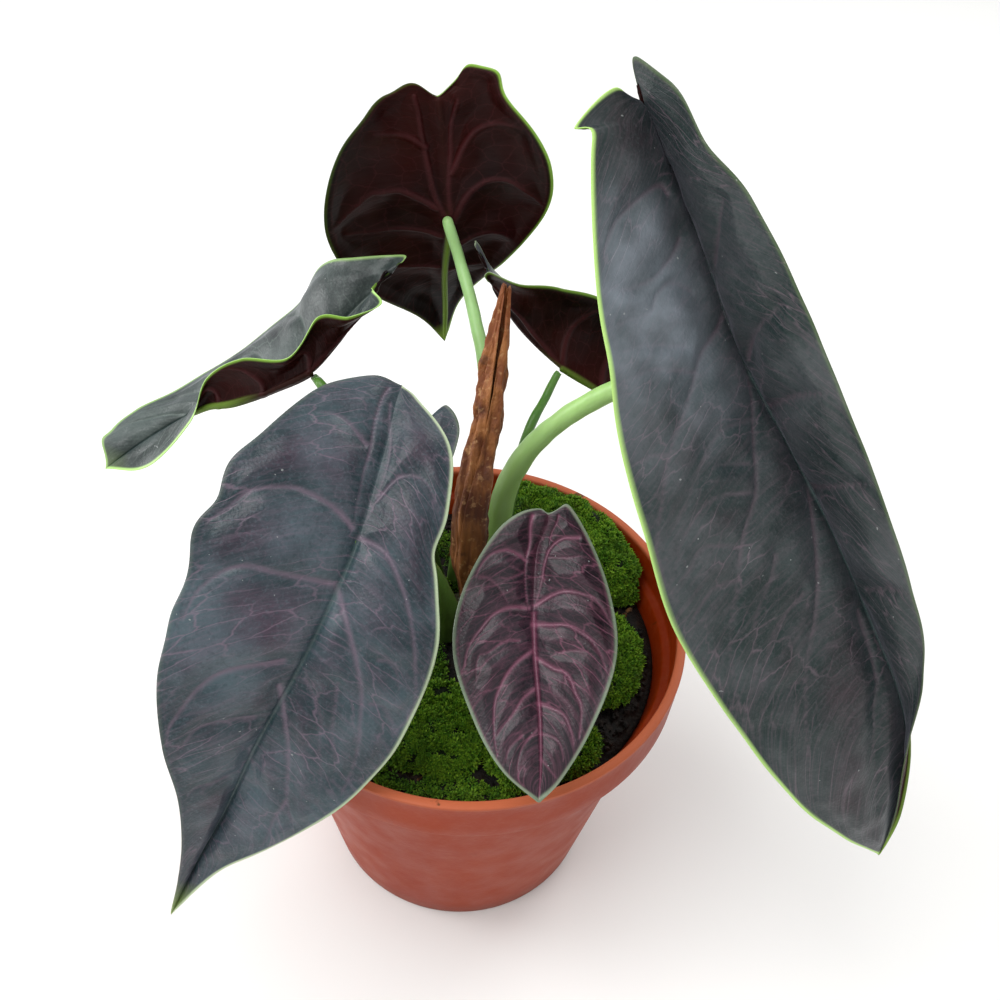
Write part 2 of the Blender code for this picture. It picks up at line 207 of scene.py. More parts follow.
# %% Stations of every blade and points of every stalk, in millimetres
LEAVES = {
    "front_left": dict(
        notch=(-18, 3, 171), tip=(-69, -73, 56), hub=3.8, laterals=4,
        stations=[
            ((-14, 1, 169), (-19, -1, 169), (-25, 3, 173)),
            ((-7, -8, 165), (-20, -10, 165), (-36, -4, 174)),
            ((-5, -22, 157), (-22, -21, 159), (-47, -20, 171)),
            ((-6, -34, 147), (-25, -32, 151), (-55, -35, 163)),
            ((-5, -44, 135), (-31, -43, 139), (-59, -47, 150)),
            ((-9, -51, 121), (-37, -50, 127), (-64, -56, 135)),
            ((-18, -59, 105), (-45, -56, 111), (-64, -63, 118)),
            ((-34, -66, 90), (-54, -62, 89), (-62, -67, 99)),
            ((-55, -69, 74), (-62, -67, 72), (-64, -70, 78)),
        ],
        petiole=[(-6, -1, 90), (-7, -4, 104), (-13, -13, 130), (-25, -29, 151)],
        radii=[5.0, 3.6, 2.6, 2.0],
    ),
    "front_small": dict(
        notch=(18, -9, 145), tip=(20, -64, 108), hub=3.25, laterals=3, vein_width=0.72,
        stations=[
            ((23, -8, 146), (18, -11, 143), (14, -8, 146)),
            ((29, -14, 141), (16, -15, 138), (6, -14, 143)),
            ((34, -24, 134), (16, -24, 131), (-1, -26, 134)),
            ((36, -36, 126), (17, -34, 124), (-2, -38, 126)),
            ((31, -50, 117), (19, -46, 117), (4, -50, 117)),
            ((25, -59, 110), (20, -57, 112), (11, -59, 112)),
        ],
        petiole=[(4, -3, 90), (6, -6, 102), (10, -13, 117), (16, -24, 131)],
        radii=[3.2, 2.2, 1.8, 1.5],
    ),
    "right_large": dict(
        notch=(29, 21, 233), tip=(105, -58, 85), hub=5.2, laterals=6, flush_left=0.15,
        stations=[
            ((26, 22, 242), (32, 21, 230), (20, 14, 237)),
            ((32, 15, 240), (35, 19, 225), (19, 8, 231)),
            ((40, 7, 233), (40, 16, 216), (20, 2, 222)),
            ((50, 0, 226), (47, 9, 204), (22, -7, 209)),
            ((59, -9, 215), (56, 1, 188), (26, -17, 196)),
            ((71, -20, 198), (68, -9, 173), (30, -26, 182)),
            ((83, -29, 179), (80, -20, 158), (37, -36, 166)),
            ((94, -37, 159), (91, -31, 142), (45, -45, 149)),
            ((101, -42, 143), (101, -40, 126), (59, -53, 131)),
            ((103, -49, 121), (106, -46, 112), (77, -59, 110)),
            ((105, -54, 102), (107, -53, 97), (94, -60, 94)),
        ],
        petiole=[(9, 12, 90), (7, 15, 106), (7, 18, 122), (11, 19, 136), (19, 18, 150),
                 (31, 15, 164), (45, 10, 176), (56, 1, 188)],
        radii=[4.6, 3.8, 3.2, 2.9, 2.6, 2.4, 2.2, 2.0],
    ),
    "back_tall": dict(
        notch=(-17, 73, 208), tip=(-14, 77, 130), hub=3.6, laterals=3,
        stations=[
            ((-25, 69, 213), (-16, 72, 205), (-8, 71, 216)),
            ((-35, 60, 207), (-15, 72, 194), (3, 64, 211)),
            ((-42, 53, 193), (-14, 70, 183), (13, 61, 198)),
            ((-44, 57, 175), (-13, 70, 171), (13, 66, 182)),
            ((-37, 65, 155), (-14, 72, 158), (3, 73, 162)),
            ((-22, 76, 139), (-14, 76, 143), (-9, 79, 145)),
        ],
        petiole=[(-4, 18, 90), (-3, 25, 115), (0, 37, 145), (-4, 50, 158), (-9, 62, 167),
                 (-14, 70, 175)],
        radii=[3.4, 2.4, 1.9, 1.7, 1.6, 1.5],
    ),
    "left_curled": dict(
        notch=(-31, 48, 166), tip=(-105, 27, 114), hub=3.0, laterals=4,
        stations=[
            ((-28, 42, 166), (-35, 45, 160), (-25, 56, 171)),
            ((-35, 37, 164), (-40, 41, 153), (-37, 56, 170)),
            ((-44, 38, 163), (-47, 37, 146), (-47, 62, 163)),
            ((-52, 34, 152), (-57, 36, 140), (-54, 61, 151)),
            ((-65, 37, 149), (-68, 35, 135), (-68, 58, 139)),
            ((-75, 36, 142), (-76, 36, 132), (-87, 48, 128)),
            ((-80, 31, 130), (-84, 36, 127), (-99, 42, 123)),
            ((-92, 26, 117), (-95, 33, 120), (-105, 36, 120)),
        ],
        petiole=[(-10, 14, 90), (-15, 18, 108), (-28, 28, 124), (-42, 32, 144), (-47, 37, 146)],
        radii=[3.0, 2.0, 1.6, 1.4, 1.2],
    ),
    "back_right": dict(
        notch=(0, 61, 162), tip=(51, 49, 124), hub=3.0, laterals=2,
        stations=[
            ((-4, 63, 171), (3, 60, 157), (-1, 58, 168)),
            ((4, 71, 156), (10, 56, 150), (7, 53, 168)),
            ((16, 78, 150), (21, 51, 143), (18, 52, 168)),
            ((33, 71, 144), (36, 49, 135), (35, 51, 161)),
        ],
        petiole=[(4, 20, 90), (8, 26, 104), (12, 33, 131), (17, 44, 138), (21, 50, 143)],
        radii=[2.6, 1.8, 1.4, 1.2, 1.1],
    ),
    "behind": dict(
        notch=(-15, 34, 135), tip=(-36, -4, 117), hub=2.0, laterals=2,
        stations=[
            ((-10, 37, 138), (-18, 29, 133), (-21, 34, 136)),
            ((-6, 29, 134), (-22, 21, 129), (-31, 26, 133)),
            ((-13, 11, 127), (-28, 8, 124), (-36, 10, 125)),
        ],
        petiole=[(-12, 6, 90), (-17, 8, 103), (-21, 13, 116), (-22, 21, 129)],
        radii=[2.4, 1.6, 1.2, 1.0],
    ),
}
print("blades to make:", len(LEAVES))

# %% Rails and the sheet between them
def smooth_rail(points, steps):
    """A curve through every point, with the given number of steps between neighbours."""
    path = np.array(points, dtype=float)
    path = np.vstack([2 * path[0] - path[1], path, 2 * path[-1] - path[-2]])
    t = (np.arange(steps) / steps)[:, None]
    spans = []
    for i in range(1, len(path) - 2):
        before, start, end, after = path[i - 1:i + 3]
        spans.append(0.5 * (2 * start + (end - before) * t
                            + (2 * before - 5 * start + 4 * end - after) * t ** 2
                            + (3 * start - before - 3 * end + after) * t ** 3))
    return np.vstack(spans + [path[-2:-1]])


def blade_sheet(leaf, steps, columns):
    """Points of the flat blade: rows from notch to tip, columns from the left to the right margin."""
    rails = []
    for side in range(3):
        ends = [leaf["notch"]] + [station[side] for station in leaf["stations"]] + [leaf["tip"]]
        rails.append(smooth_rail(ends, steps))
    left, midrib, right = rails
    along = np.gradient(midrib, axis=0)
    along /= np.linalg.norm(along, axis=1)[:, None]
    share = np.abs(np.linspace(-1, 1, 2 * columns + 1))[None, :, None]
    out_left, out_right = left - midrib, right - midrib
    lift_left, lift_right = np.cross(along, out_left), np.cross(out_right, along)
    on_left = (np.arange(2 * columns + 1) < columns)[None, :, None]
    out = np.where(on_left, out_left[:, None], out_right[:, None])
    lift = np.where(on_left, lift_left[:, None], lift_right[:, None])
    return midrib[:, None] + share * out + 0.28 * share * (1 - share) * lift


print("longest midrib in mm:",
      round(max(np.linalg.norm(np.diff(blade_sheet(leaf, 8, 1)[:, 1], axis=0), axis=1).sum()
                for leaf in LEAVES.values())))

# %% [markdown]
# ## Veins
# The petiole meets the blade at a hub. From there the midrib runs to the tip, two ribs run back
# into the lobes, and side veins arch towards the margin. They could be painted on, but a real vein
# is also a groove on the upper side and a ridge below. So each vein is a line on the sheet, and
# every point of the blade stores how near it is to one. The same number then moves the surface and
# tints the skin. No two blades have the same veins, so the four in plain sight are drawn one by
# one. A place on a blade is (u, v): u from the notch to the tip, v from the left margin at -1 to
# the right margin at 1.

# %% Drawn veins, each as its strength and the places it passes through
VEINS = {
    "front_left": [
        (0.7, [(0.087, 0.43), (0.219, 0.17), (0.275, 0.13), (0.356, 0.07)]),
        (0.5, [(0.119, 0.13), (0.212, -0.08), (0.294, -0.08), (0.35, -0.02)]),
        (0.7, [(0.231, 0.2), (0.219, 0.45), (0.219, 0.63), (0.231, 0.77)]),
        (1.0, [(0.362, 0.07), (0.344, 0.25), (0.338, 0.45), (0.338, 0.58),
              (0.356, 0.8), (0.375, 0.88), (0.406, 0.95)]),
        (1.0, [(0.444, 0.07), (0.444, 0.25), (0.444, 0.48), (0.444, 0.63),
              (0.456, 0.77), (0.487, 0.9), (0.525, 0.92)]),
        (1.0, [(0.562, 0.15), (0.569, 0.27), (0.575, 0.43), (0.588, 0.57),
              (0.613, 0.7), (0.644, 0.8), (0.675, 0.92), (0.7, 0.95)]),
        (0.6, [(0.656, 0.17), (0.656, 0.33), (0.662, 0.58), (0.675, 0.7), (0.7, 0.8)]),
        (0.5, [(0.744, 0.22), (0.75, 0.42), (0.756, 0.63), (0.775, 0.82)]),
        (0.9, [(0.375, -0.02), (0.381, -0.27), (0.394, -0.43), (0.419, -0.58), (0.45, -0.7),
              (0.512, -0.82), (0.531, -0.85), (0.6, -0.97), (0.637, -0.92)]),
        (0.9, [(0.444, 0.03), (0.481, -0.17), (0.519, -0.32), (0.544, -0.4),
              (0.588, -0.53), (0.625, -0.62), (0.675, -0.75), (0.731, -0.88)]),
        (0.9, [(0.606, 0.08), (0.637, -0.03), (0.675, -0.18),
              (0.713, -0.32), (0.75, -0.48), (0.787, -0.75)]),
        (0.5, [(0.756, -0.5), (0.794, -0.58), (0.838, -0.83)]),
        (0.3, [(0.706, 0.08), (0.731, -0.07), (0.75, -0.17)]),
        (0.6, [(0.312, -0.07), (0.269, -0.27), (0.263, -0.52), (0.275, -0.7), (0.306, -0.87)]),
        (0.35, [(0.588, -0.08), (0.631, -0.32), (0.675, -0.45), (0.706, -0.58), (0.756, -0.8)]),
        (0.35, [(0.581, -0.32), (0.65, -0.47), (0.681, -0.6), (0.738, -0.82)]),
        (0.35, [(0.531, -0.55), (0.531, -0.63), (0.544, -0.72), (0.575, -0.8)]),
        (0.35, [(0.6, -0.63), (0.6, -0.73), (0.619, -0.85), (0.631, -0.9)]),
    ],
    "right_large": [
        (0.9, [(0.38, 0.03), (0.391, 0.13), (0.411, 0.32), (0.438, 0.47),
              (0.505, 0.75), (0.573, 0.93), (0.604, 0.97), (0.641, 0.95)]),
        (0.8, [(0.438, 0.03), (0.5, 0.23), (0.547, 0.37), (0.583, 0.52),
              (0.63, 0.65), (0.703, 0.83), (0.76, 0.95)]),
        (0.8, [(0.547, 0.02), (0.589, 0.12), (0.63, 0.22), (0.667, 0.32),
              (0.708, 0.47), (0.771, 0.65), (0.839, 0.85)]),
        (0.7, [(0.661, 0.05), (0.703, 0.08), (0.734, 0.13), (0.786, 0.25), (0.88, 0.4)]),
        (1.0, [(0.245, 0.22), (0.234, 0.28), (0.245, 0.47), (0.26, 0.63), (0.281, 0.82), (0.307, 0.92)]),
        (0.7, [(0.302, 0.23), (0.323, 0.4), (0.339, 0.57), (0.344, 0.73), (0.344, 0.92)]),
        (0.5, [(0.354, 0.27), (0.344, 0.43), (0.354, 0.57), (0.37, 0.65), (0.375, 0.8), (0.38, 0.92)]),
        (0.4, [(0.406, 0.48), (0.401, 0.73), (0.406, 0.93)]),
        (0.6, [(0.432, 0.45), (0.427, 0.67), (0.427, 0.78), (0.438, 0.97)]),
        (0.5, [(0.51, 0.77), (0.51, 0.87), (0.516, 0.95)]),
        (0.5, [(0.479, 0.18), (0.49, 0.43), (0.521, 0.62), (0.568, 0.83), (0.589, 0.95)]),
        (0.3, [(0.521, 0.33), (0.521, 0.52), (0.536, 0.67)]),
        (0.5, [(0.547, 0.4), (0.552, 0.63), (0.578, 0.8), (0.615, 0.92)]),
        (0.5, [(0.625, 0.63), (0.63, 0.75), (0.651, 0.87), (0.667, 0.92)]),
        (0.4, [(0.594, 0.58), (0.594, 0.75), (0.615, 0.85), (0.63, 0.92)]),
        (0.45, [(0.604, 0.4), (0.625, 0.47), (0.661, 0.62), (0.708, 0.73), (0.75, 0.9)]),
        (0.45, [(0.641, 0.33), (0.661, 0.48), (0.693, 0.63), (0.734, 0.77), (0.781, 0.93)]),
        (0.4, [(0.719, 0.5), (0.734, 0.73)]),
        (0.9, [(0.427, -0.13), (0.422, -0.25), (0.422, -0.48), (0.427, -0.78)]),
        (0.6, [(0.339, -0.15), (0.328, -0.45), (0.318, -0.62), (0.312, -0.75)]),
        (0.9, [(0.469, -0.07), (0.484, -0.55), (0.5, -0.88)]),
        (0.8, [(0.547, -0.1), (0.562, -0.55), (0.578, -0.95)]),
        (0.5, [(0.646, -0.23), (0.656, -0.63), (0.672, -0.95)]),
    ],
    "front_small": [
        (1.0, [(0.17, 0.67), (0.259, 0.25), (0.339, 0.2), (0.455, 0.08)]),
        (0.9, [(0.259, -0.8), (0.25, -0.48), (0.277, -0.25), (0.33, -0.15), (0.384, -0.1), (0.446, -0.02)]),
        (0.4, [(0.134, -0.53), (0.205, -0.25), (0.277, -0.22)]),
        (0.9, [(0.33, 0.2), (0.321, 0.38), (0.321, 0.63), (0.339, 0.83), (0.366, 0.9), (0.393, 0.9)]),
        (0.35, [(0.357, 0.17), (0.384, 0.42), (0.384, 0.63)]),
        (0.35, [(0.393, 0.85), (0.393, 0.7), (0.411, 0.52), (0.446, 0.37)]),
        (1.0, [(0.455, 0.07), (0.455, 0.27), (0.464, 0.42), (0.482, 0.55),
              (0.518, 0.68), (0.554, 0.8), (0.607, 0.9)]),
        (1.0, [(0.571, 0.03), (0.589, 0.18), (0.616, 0.35), (0.643, 0.48),
              (0.679, 0.62), (0.723, 0.72), (0.812, 0.88)]),
        (0.8, [(0.661, 0.05), (0.679, 0.23), (0.714, 0.43), (0.759, 0.75)]),
        (0.5, [(0.759, 0.05), (0.786, 0.27), (0.812, 0.42), (0.866, 0.63)]),
        (0.3, [(0.768, 0.32), (0.795, 0.6), (0.839, 0.8)]),
        (0.45, [(0.545, 0.2), (0.545, 0.37), (0.571, 0.57), (0.58, 0.7), (0.625, 0.78)]),
        (1.0, [(0.446, -0.02), (0.42, -0.23), (0.411, -0.43), (0.42, -0.63), (0.438, -0.8), (0.5, -0.95)]),
        (1.0, [(0.5, 0.02), (0.5, -0.22), (0.5, -0.4), (0.518, -0.57), (0.545, -0.73), (0.607, -0.93)]),
        (1.0, [(0.589, -0.02), (0.607, -0.23), (0.616, -0.42),
              (0.652, -0.58), (0.679, -0.72), (0.741, -0.85)]),
        (0.8, [(0.696, 0.02), (0.696, -0.25), (0.705, -0.48), (0.732, -0.65), (0.759, -0.8)]),
        (0.4, [(0.839, 0.0), (0.857, -0.45), (0.866, -0.77)]),
        (0.4, [(0.768, 0.02), (0.768, -0.42), (0.795, -0.65), (0.812, -0.73)]),
        (0.35, [(0.571, -0.3), (0.562, -0.53), (0.571, -0.72), (0.616, -0.9)]),
        (0.3, [(0.312, -0.18), (0.321, -0.5), (0.321, -0.75), (0.339, -0.97)]),
    ],
    "back_tall": [
        (1.0, [(0.518, 0.0), (0.464, -0.07), (0.357, -0.15),
              (0.295, -0.22), (0.214, -0.37), (0.161, -0.6)]),
        (1.0, [(0.518, 0.03), (0.411, 0.03), (0.312, 0.08), (0.223, 0.17), (0.179, 0.4)]),
        (0.8, [(0.295, -0.2), (0.286, -0.38), (0.295, -0.57), (0.312, -0.78)]),
        (0.9, [(0.482, -0.08), (0.455, -0.22), (0.438, -0.37), (0.446, -0.52),
              (0.455, -0.63), (0.509, -0.8), (0.554, -0.95)]),
        (0.7, [(0.58, -0.05), (0.562, -0.23), (0.562, -0.42), (0.571, -0.63), (0.571, -0.83)]),
        (0.5, [(0.696, -0.07), (0.688, -0.35), (0.679, -0.62)]),
        (0.9, [(0.366, 0.07), (0.312, 0.23), (0.286, 0.43), (0.295, 0.67), (0.33, 0.9)]),
        (0.9, [(0.527, 0.05), (0.464, 0.17), (0.438, 0.28), (0.429, 0.42),
              (0.446, 0.58), (0.491, 0.75), (0.554, 0.95)]),
        (0.6, [(0.625, 0.08), (0.607, 0.28), (0.607, 0.48), (0.634, 0.73)]),
        (0.4, [(0.714, 0.0), (0.714, 0.37), (0.714, 0.65)]),
    ],
}
print("drawn veins:", sum(len(lines) for lines in VEINS.values()))

# %% Lines of the veins
def on_sheet(sheet, u, v):
    """Points of the sheet at places u, v."""
    rows, columns = sheet.shape[:2]
    r = np.clip(u, 0, 1) * (rows - 1)
    c = (np.clip(v, -1, 1) + 1) / 2 * (columns - 1)
    r0 = np.minimum(r.astype(int), rows - 2)
    c0 = np.minimum(c.astype(int), columns - 2)
    fr, fc = (r - r0)[:, None], (c - c0)[:, None]
    return ((sheet[r0, c0] * (1 - fr) + sheet[r0 + 1, c0] * fr) * (1 - fc)
            + (sheet[r0, c0 + 1] * (1 - fr) + sheet[r0 + 1, c0 + 1] * fr) * fc)


def arched_veins(leaf):
    """Side veins for a blade seen from afar: even pairs that arch towards the tip."""
    hub = leaf["hub"] / (len(leaf["stations"]) + 1)
    t = np.linspace(0, 1, 7)
    lines = []
    for side in (-1, 1):
        lines.append((0.9, np.stack([hub * (1 - 0.75 * t), side * 0.42 * t], axis=1)))
        for k in range(leaf["laterals"]):
            start = hub + (0.9 - hub) * k / leaf["laterals"]
            lines.append((0.8, np.stack([start + 0.15 * t ** 2.2, side * 0.94 * t ** 0.92], axis=1)))
    return lines


def vein_lines(name, leaf):
    """Every side vein as its places, the half width in mm and the strength at each place."""
    lines = []
    for strength, places in VEINS.get(name) or arched_veins(leaf):
        u, v = smooth_rail(places, 14).T
        taper = 1 - 0.5 * np.linspace(0, 1, len(u))
        half_width = (0.28 + 0.42 * strength) * leaf.get("vein_width", 1.0)
        lines.append((u, v, half_width * taper, (0.3 + 0.7 * strength) * taper))
    for side in (-1, 1):
        edge = np.linspace(0.10, 0.96, 200)
        lines.append((edge, np.full(200, side * 0.94), np.full(200, 0.25), np.full(200, 0.25)))
    return lines


def nearness(points, line_points, half_widths, strengths):
    """For each point, how deep it lies in the nearest vein (0 to 1) and its distance in mm."""
    tree = KDTree(len(line_points))
    for index, place in enumerate(line_points):
        tree.insert(place, index)
    tree.balance()
    found = [tree.find(point) for point in points]
    index = np.array([f[1] for f in found])
    distance = np.array([f[2] for f in found])
    return strengths[index] * np.exp(-(distance / half_widths[index]) ** 2), distance


print("side veins of the large right blade:", len(vein_lines("right_large", LEAVES["right_large"])))

# %% [markdown]
# ## Making a blade
# It starts as a plain grid, as flat as paper. Its points are then pulled onto the sheet, the
# grooves of the veins are pressed in and the skin between them swells a little, as on a quilt.
# Where a lobe has curled, its margin is pushed aside. The rows at the notch and the tip each shrink
# to one point, so doubles are merged. Solidify gives the thickness, more along the ribs than
# between them, with its own material for the underside and for the cut edge.

# %% Curls, rows and pale margins of each blade
# A curl is (u, spread in u, side, push in mm), and acts only near that margin.
CURLS = {
    "right_large": [(0.115, 0.022, 1, (-3.6, -2.0, -3.2)), (0.055, 0.022, 1, (0.8, -1.5, 2.5)),
                    (0.20, 0.05, -1, (1.0, 0.5, 1.0)), (0.28, 0.04, -1, (-1.2, 0, 0.5))],
    "front_left": [(0.36, 0.03, -1, (-1.6, 0.4, -0.8)), (0.24, 0.05, -1, (0.9, 0.4, 0.6)),
                   (0.33, 0.03, 1, (-1.4, 0, 0.6)), (0.42, 0.03, 1, (-1.2, 0, 0.5)),
                   (0.38, 0.02, 1, (0.8, 0, -0.4)), (0.52, 0.03, 1, (-0.9, 0, 0.4))],
    "left_curled": [(0.10, 0.035, 1, (2.0, -2.0, 2.5)), (0.04, 0.02, 1, (-1.5, 0, -1.0)),
                    (0.86, 0.04, -1, (0, -1.5, 1.5)), (0.93, 0.03, 1, (-1.5, 0.5, 1.0))],
    "back_right": [(0.20, 0.05, -1, (-1.5, -1.5, 3.5)), (0.10, 0.06, 1, (-1.5, -3.0, 1.5))],
    "back_tall": [(0.19, 0.04, 1, (2.5, -2.0, 2.5)), (0.13, 0.03, 1, (-0.5, 0, 1.5)),
                  (0.17, 0.05, -1, (-1.0, 0, -2.0)), (0.30, 0.05, -1, (1.5, 0, 0.5))],
    "front_small": [(0.12, 0.05, 1, (0.4, 0.3, -0.9)), (0.14, 0.05, -1, (-0.3, 0.6, 0.8))],
}
ROWS = {"front_left": 310, "right_large": 340, "front_small": 240, "left_curled": 260,
        "back_tall": 230, "back_right": 170, "behind": 110}
COLUMNS = {"front_left": 70, "right_large": 64, "front_small": 76, "left_curled": 60,
           "back_tall": 66, "back_right": 56, "behind": 40}
# How pale the left and right margins are, and how far the side veins lean to the tip, in mm.
PALE = {"front_left": (0.8, 0.05), "right_large": (0.10, 1.0), "front_small": (0.55, 0.55),
        "left_curled": (1.0, 0.6), "back_tall": (0.15, 0.9), "back_right": (0.5, 0.6), "behind": (0.2, 0.2)}
LEAN = {"front_left": 14.0, "right_large": 34.0, "front_small": 9.0, "left_curled": 10.0,
        "back_tall": 6.0, "back_right": 8.0, "behind": 6.0}
print("curls:", sum(len(curls) for curls in CURLS.values()))

# %% Blade
RIB_THICKNESS = 1.5
MAP = "blade_mm"
BLADE_OF = {}


def sheet_normals(sheet):
    """Unit normals on the upper side of the sheet."""
    down = np.gradient(sheet, axis=0)
    across = np.gradient(sheet, axis=1)
    # At the fold the two halves count alike, however unequal they are in width.
    middle = sheet.shape[1] // 2
    to_left = sheet[:, middle - 1] - sheet[:, middle]
    to_right = sheet[:, middle + 1] - sheet[:, middle]
    for way in (to_left, to_right):
        way /= np.maximum(np.linalg.norm(way, axis=1, keepdims=True), 1e-9)
    across[:, middle] = to_right - to_left
    normal = np.cross(across, down)
    length = np.linalg.norm(normal, axis=2, keepdims=True)
    normal = normal / np.maximum(length, 1e-9)
    normal[0] = normal[1].mean(axis=0)
    normal[-1] = normal[-2].mean(axis=0)
    return normal / np.linalg.norm(normal, axis=2, keepdims=True)


def store(mesh, name, values):
    layer = mesh.attributes.new(name, "FLOAT", "POINT")
    layer.data.foreach_set("value", np.asarray(values, dtype=np.float32))


def curled(name, sheet):
    """The sheet with the curls of its margins."""
    rows, width = sheet.shape[:2]
    u = np.linspace(0, 1, rows)[:, None, None]
    v = np.linspace(-1, 1, width)[None, :, None]
    for at, spread, side, push in CURLS.get(name, []):
        share = np.exp(-((u - at) / spread) ** 2) * np.clip(side * v, 0, 1) ** 3
        sheet = sheet + share * np.array(push, dtype=float)
    return sheet


def put_map(name, mesh, sheet):
    """Lays the blade out flat on its UV map, 100 mm to the unit, with the side veins level."""
    rows, width = sheet.shape[:2]
    columns = width // 2
    v = np.tile(np.linspace(-1, 1, width), rows)
    middle = sheet[:, columns]
    steps = np.linalg.norm(np.diff(middle, axis=0), axis=1)
    length = np.concatenate([[0.0], np.cumsum(steps)])
    across = np.linalg.norm(sheet - middle[:, None], axis=2).ravel() * np.sign(v)
    level = np.repeat(length, width) - LEAN[name] * np.abs(v) ** 1.6
    corners = np.empty(len(mesh.loops), dtype=np.int32)
    mesh.loops.foreach_get("vertex_index", corners)
    layer = mesh.uv_layers[0]
    layer.name = MAP
    layer.data.foreach_set("uv", (np.stack([across, level], axis=1)[corners] / 100).ravel())


def make_blade(name, leaf, skins):
    steps = round(ROWS[name] / (len(leaf["stations"]) + 1))
    columns = COLUMNS[name]
    sheet = curled(name, blade_sheet(leaf, steps, columns))
    rows, width = sheet.shape[:2]
    bpy.ops.object.select_all(action="DESELECT")
    bpy.ops.mesh.primitive_grid_add(x_subdivisions=width - 1, y_subdivisions=rows - 1, size=1)
    blade = added("blade_" + name)
    mesh = blade.data

    normals = sheet_normals(sheet)
    flat = sheet.reshape(-1, 3)
    lines = vein_lines(name, leaf)
    line_points = np.vstack([on_sheet(sheet, u, v) for u, v, _, _ in lines])
    half_widths = np.hstack([w for _, _, w, _ in lines])
    strengths = np.hstack([s for _, _, _, s in lines])
    side_vein, away = nearness(flat, line_points, half_widths, strengths)

    hub = leaf["hub"] / (len(leaf["stations"]) + 1)
    u_grid = np.repeat(np.linspace(0, 1, rows), width)
    v_grid = np.tile(np.linspace(-1, 1, width), rows)
    from_midrib = np.linalg.norm(flat - np.repeat(sheet[:, columns], width, axis=0), axis=1)
    rib_width = 0.9 * (1.05 - u_grid) + 0.15
    midrib = np.exp(-(from_midrib / rib_width) ** 2) * np.where(u_grid < hub, 0.25, 1.0)
    to_left = np.linalg.norm(flat - np.repeat(sheet[:, 0], width, axis=0), axis=1)
    to_right = np.linalg.norm(flat - np.repeat(sheet[:, -1], width, axis=0), axis=1)
    from_margin = np.minimum(to_left, to_right)
    inland = np.clip(from_margin / 5.0, 0, 1)
    # A side vein sinks into the midrib, so its relief fades there and leaves no knob on the fold.
    ridge = side_vein * inland * np.clip(from_midrib / 3.0, 0.15, 1)
    open_blade = inland * np.clip(from_midrib / 4.0, 0, 1)

    swell = (1 - np.exp(-(away / 3.2) ** 2)) * open_blade
    lumps = np.array([noise.noise(Vector(p) * 0.14) for p in flat])
    wave = np.array([noise.noise(Vector(p) * 0.075 + Vector((7, 3, 1))) for p in flat])
    lift = (1.0 * swell - 0.65 * ridge - 0.45 * midrib * inland + 0.7 * lumps * open_blade
            + 1.0 * wave * np.abs(v_grid) ** 5)
    move_points(blade, (flat + normals.reshape(-1, 3) * lift[:, None]) * MM)

    pale_left, pale_right = PALE[name]
    store(mesh, "vein", side_vein)
    store(mesh, "midrib", midrib)
    flush_share = np.where(v_grid < 0, leaf.get("flush_left", 1.0), 1.0)
    store(mesh, "between", flush_share * (1 - np.exp(-(np.minimum(away, from_midrib) / 4.5) ** 2)))
    store(mesh, "pale", np.where(v_grid < 0, pale_left, pale_right) * np.exp(-(from_margin / 0.75) ** 4))
    store(mesh, "along", u_grid)
    # Where on the blade a patch of painted sheen is laid: one half, a third of the way to the tip.
    store(mesh, "painted_sheen_zone", np.exp(-((u_grid - 0.37) / 0.11) ** 2) * np.exp(-((v_grid - 0.72) / 0.42) ** 2))
    put_map(name, mesh, sheet)
    thick = blade.vertex_groups.new(name="thickness")
    weight = 0.28 + 0.14 * ridge + 0.55 * midrib * (1.05 - u_grid) * inland
    weight *= np.clip(0.45 + from_margin / 2.5, 0, 1)
    for index, value in enumerate(weight):
        thick.add([index], float(value), "REPLACE")
    open_mesh(blade)
    bpy.ops.mesh.remove_doubles(threshold=0.00002)
    close_mesh()

    for skin in skins:
        mesh.materials.append(skin)
    apply_modifier(blade, "SOLIDIFY", thickness=RIB_THICKNESS * MM, offset=-1.0, vertex_group="thickness",
                   thickness_vertex_group=0.0, material_offset=1, material_offset_rim=2)
    take(blade)
    bpy.ops.object.shade_smooth()
    BLADE_OF[name] = (sheet, normals)
    print(name, "faces:", faces_of(blade))
    return blade


# %% [markdown]
# ## Skins of the blade
# The upper skin is thick living cuticle over nearly black green tissue, flushed with purple. It
# shines softly and greys where the light grazes it, and soft pale patches of painted sheen lie over
# it. The underside is maroon. A picture could give these colours, but noise and cells on the blade's
# own map, in real millimetres, give the same fine net of veinlets at any distance. The map is the
# blade unrolled and combed, so that streaks across it run with the side veins.

# %% Upper skin, underside and edge
def streaks(tree, length_mm, width_mm, low, high):
    """Fine streaks that run with the side veins."""
    place = add_node(tree, "ShaderNodeUVMap", uv_map=MAP)
    place = add_node(tree, "ShaderNodeVectorMath", {0: place, 1: (100 / length_mm, 100 / width_mm, 1)},
                     operation="MULTIPLY")
    grain = add_node(tree, "ShaderNodeTexNoise", {"Vector": place, "Scale": 1.0, "Detail": 4.0,
                                                  "Roughness": 0.65, "Distortion": 0.6})
    return add_node(tree, "ShaderNodeMapRange", {"Value": grain, "From Min": low, "From Max": high})


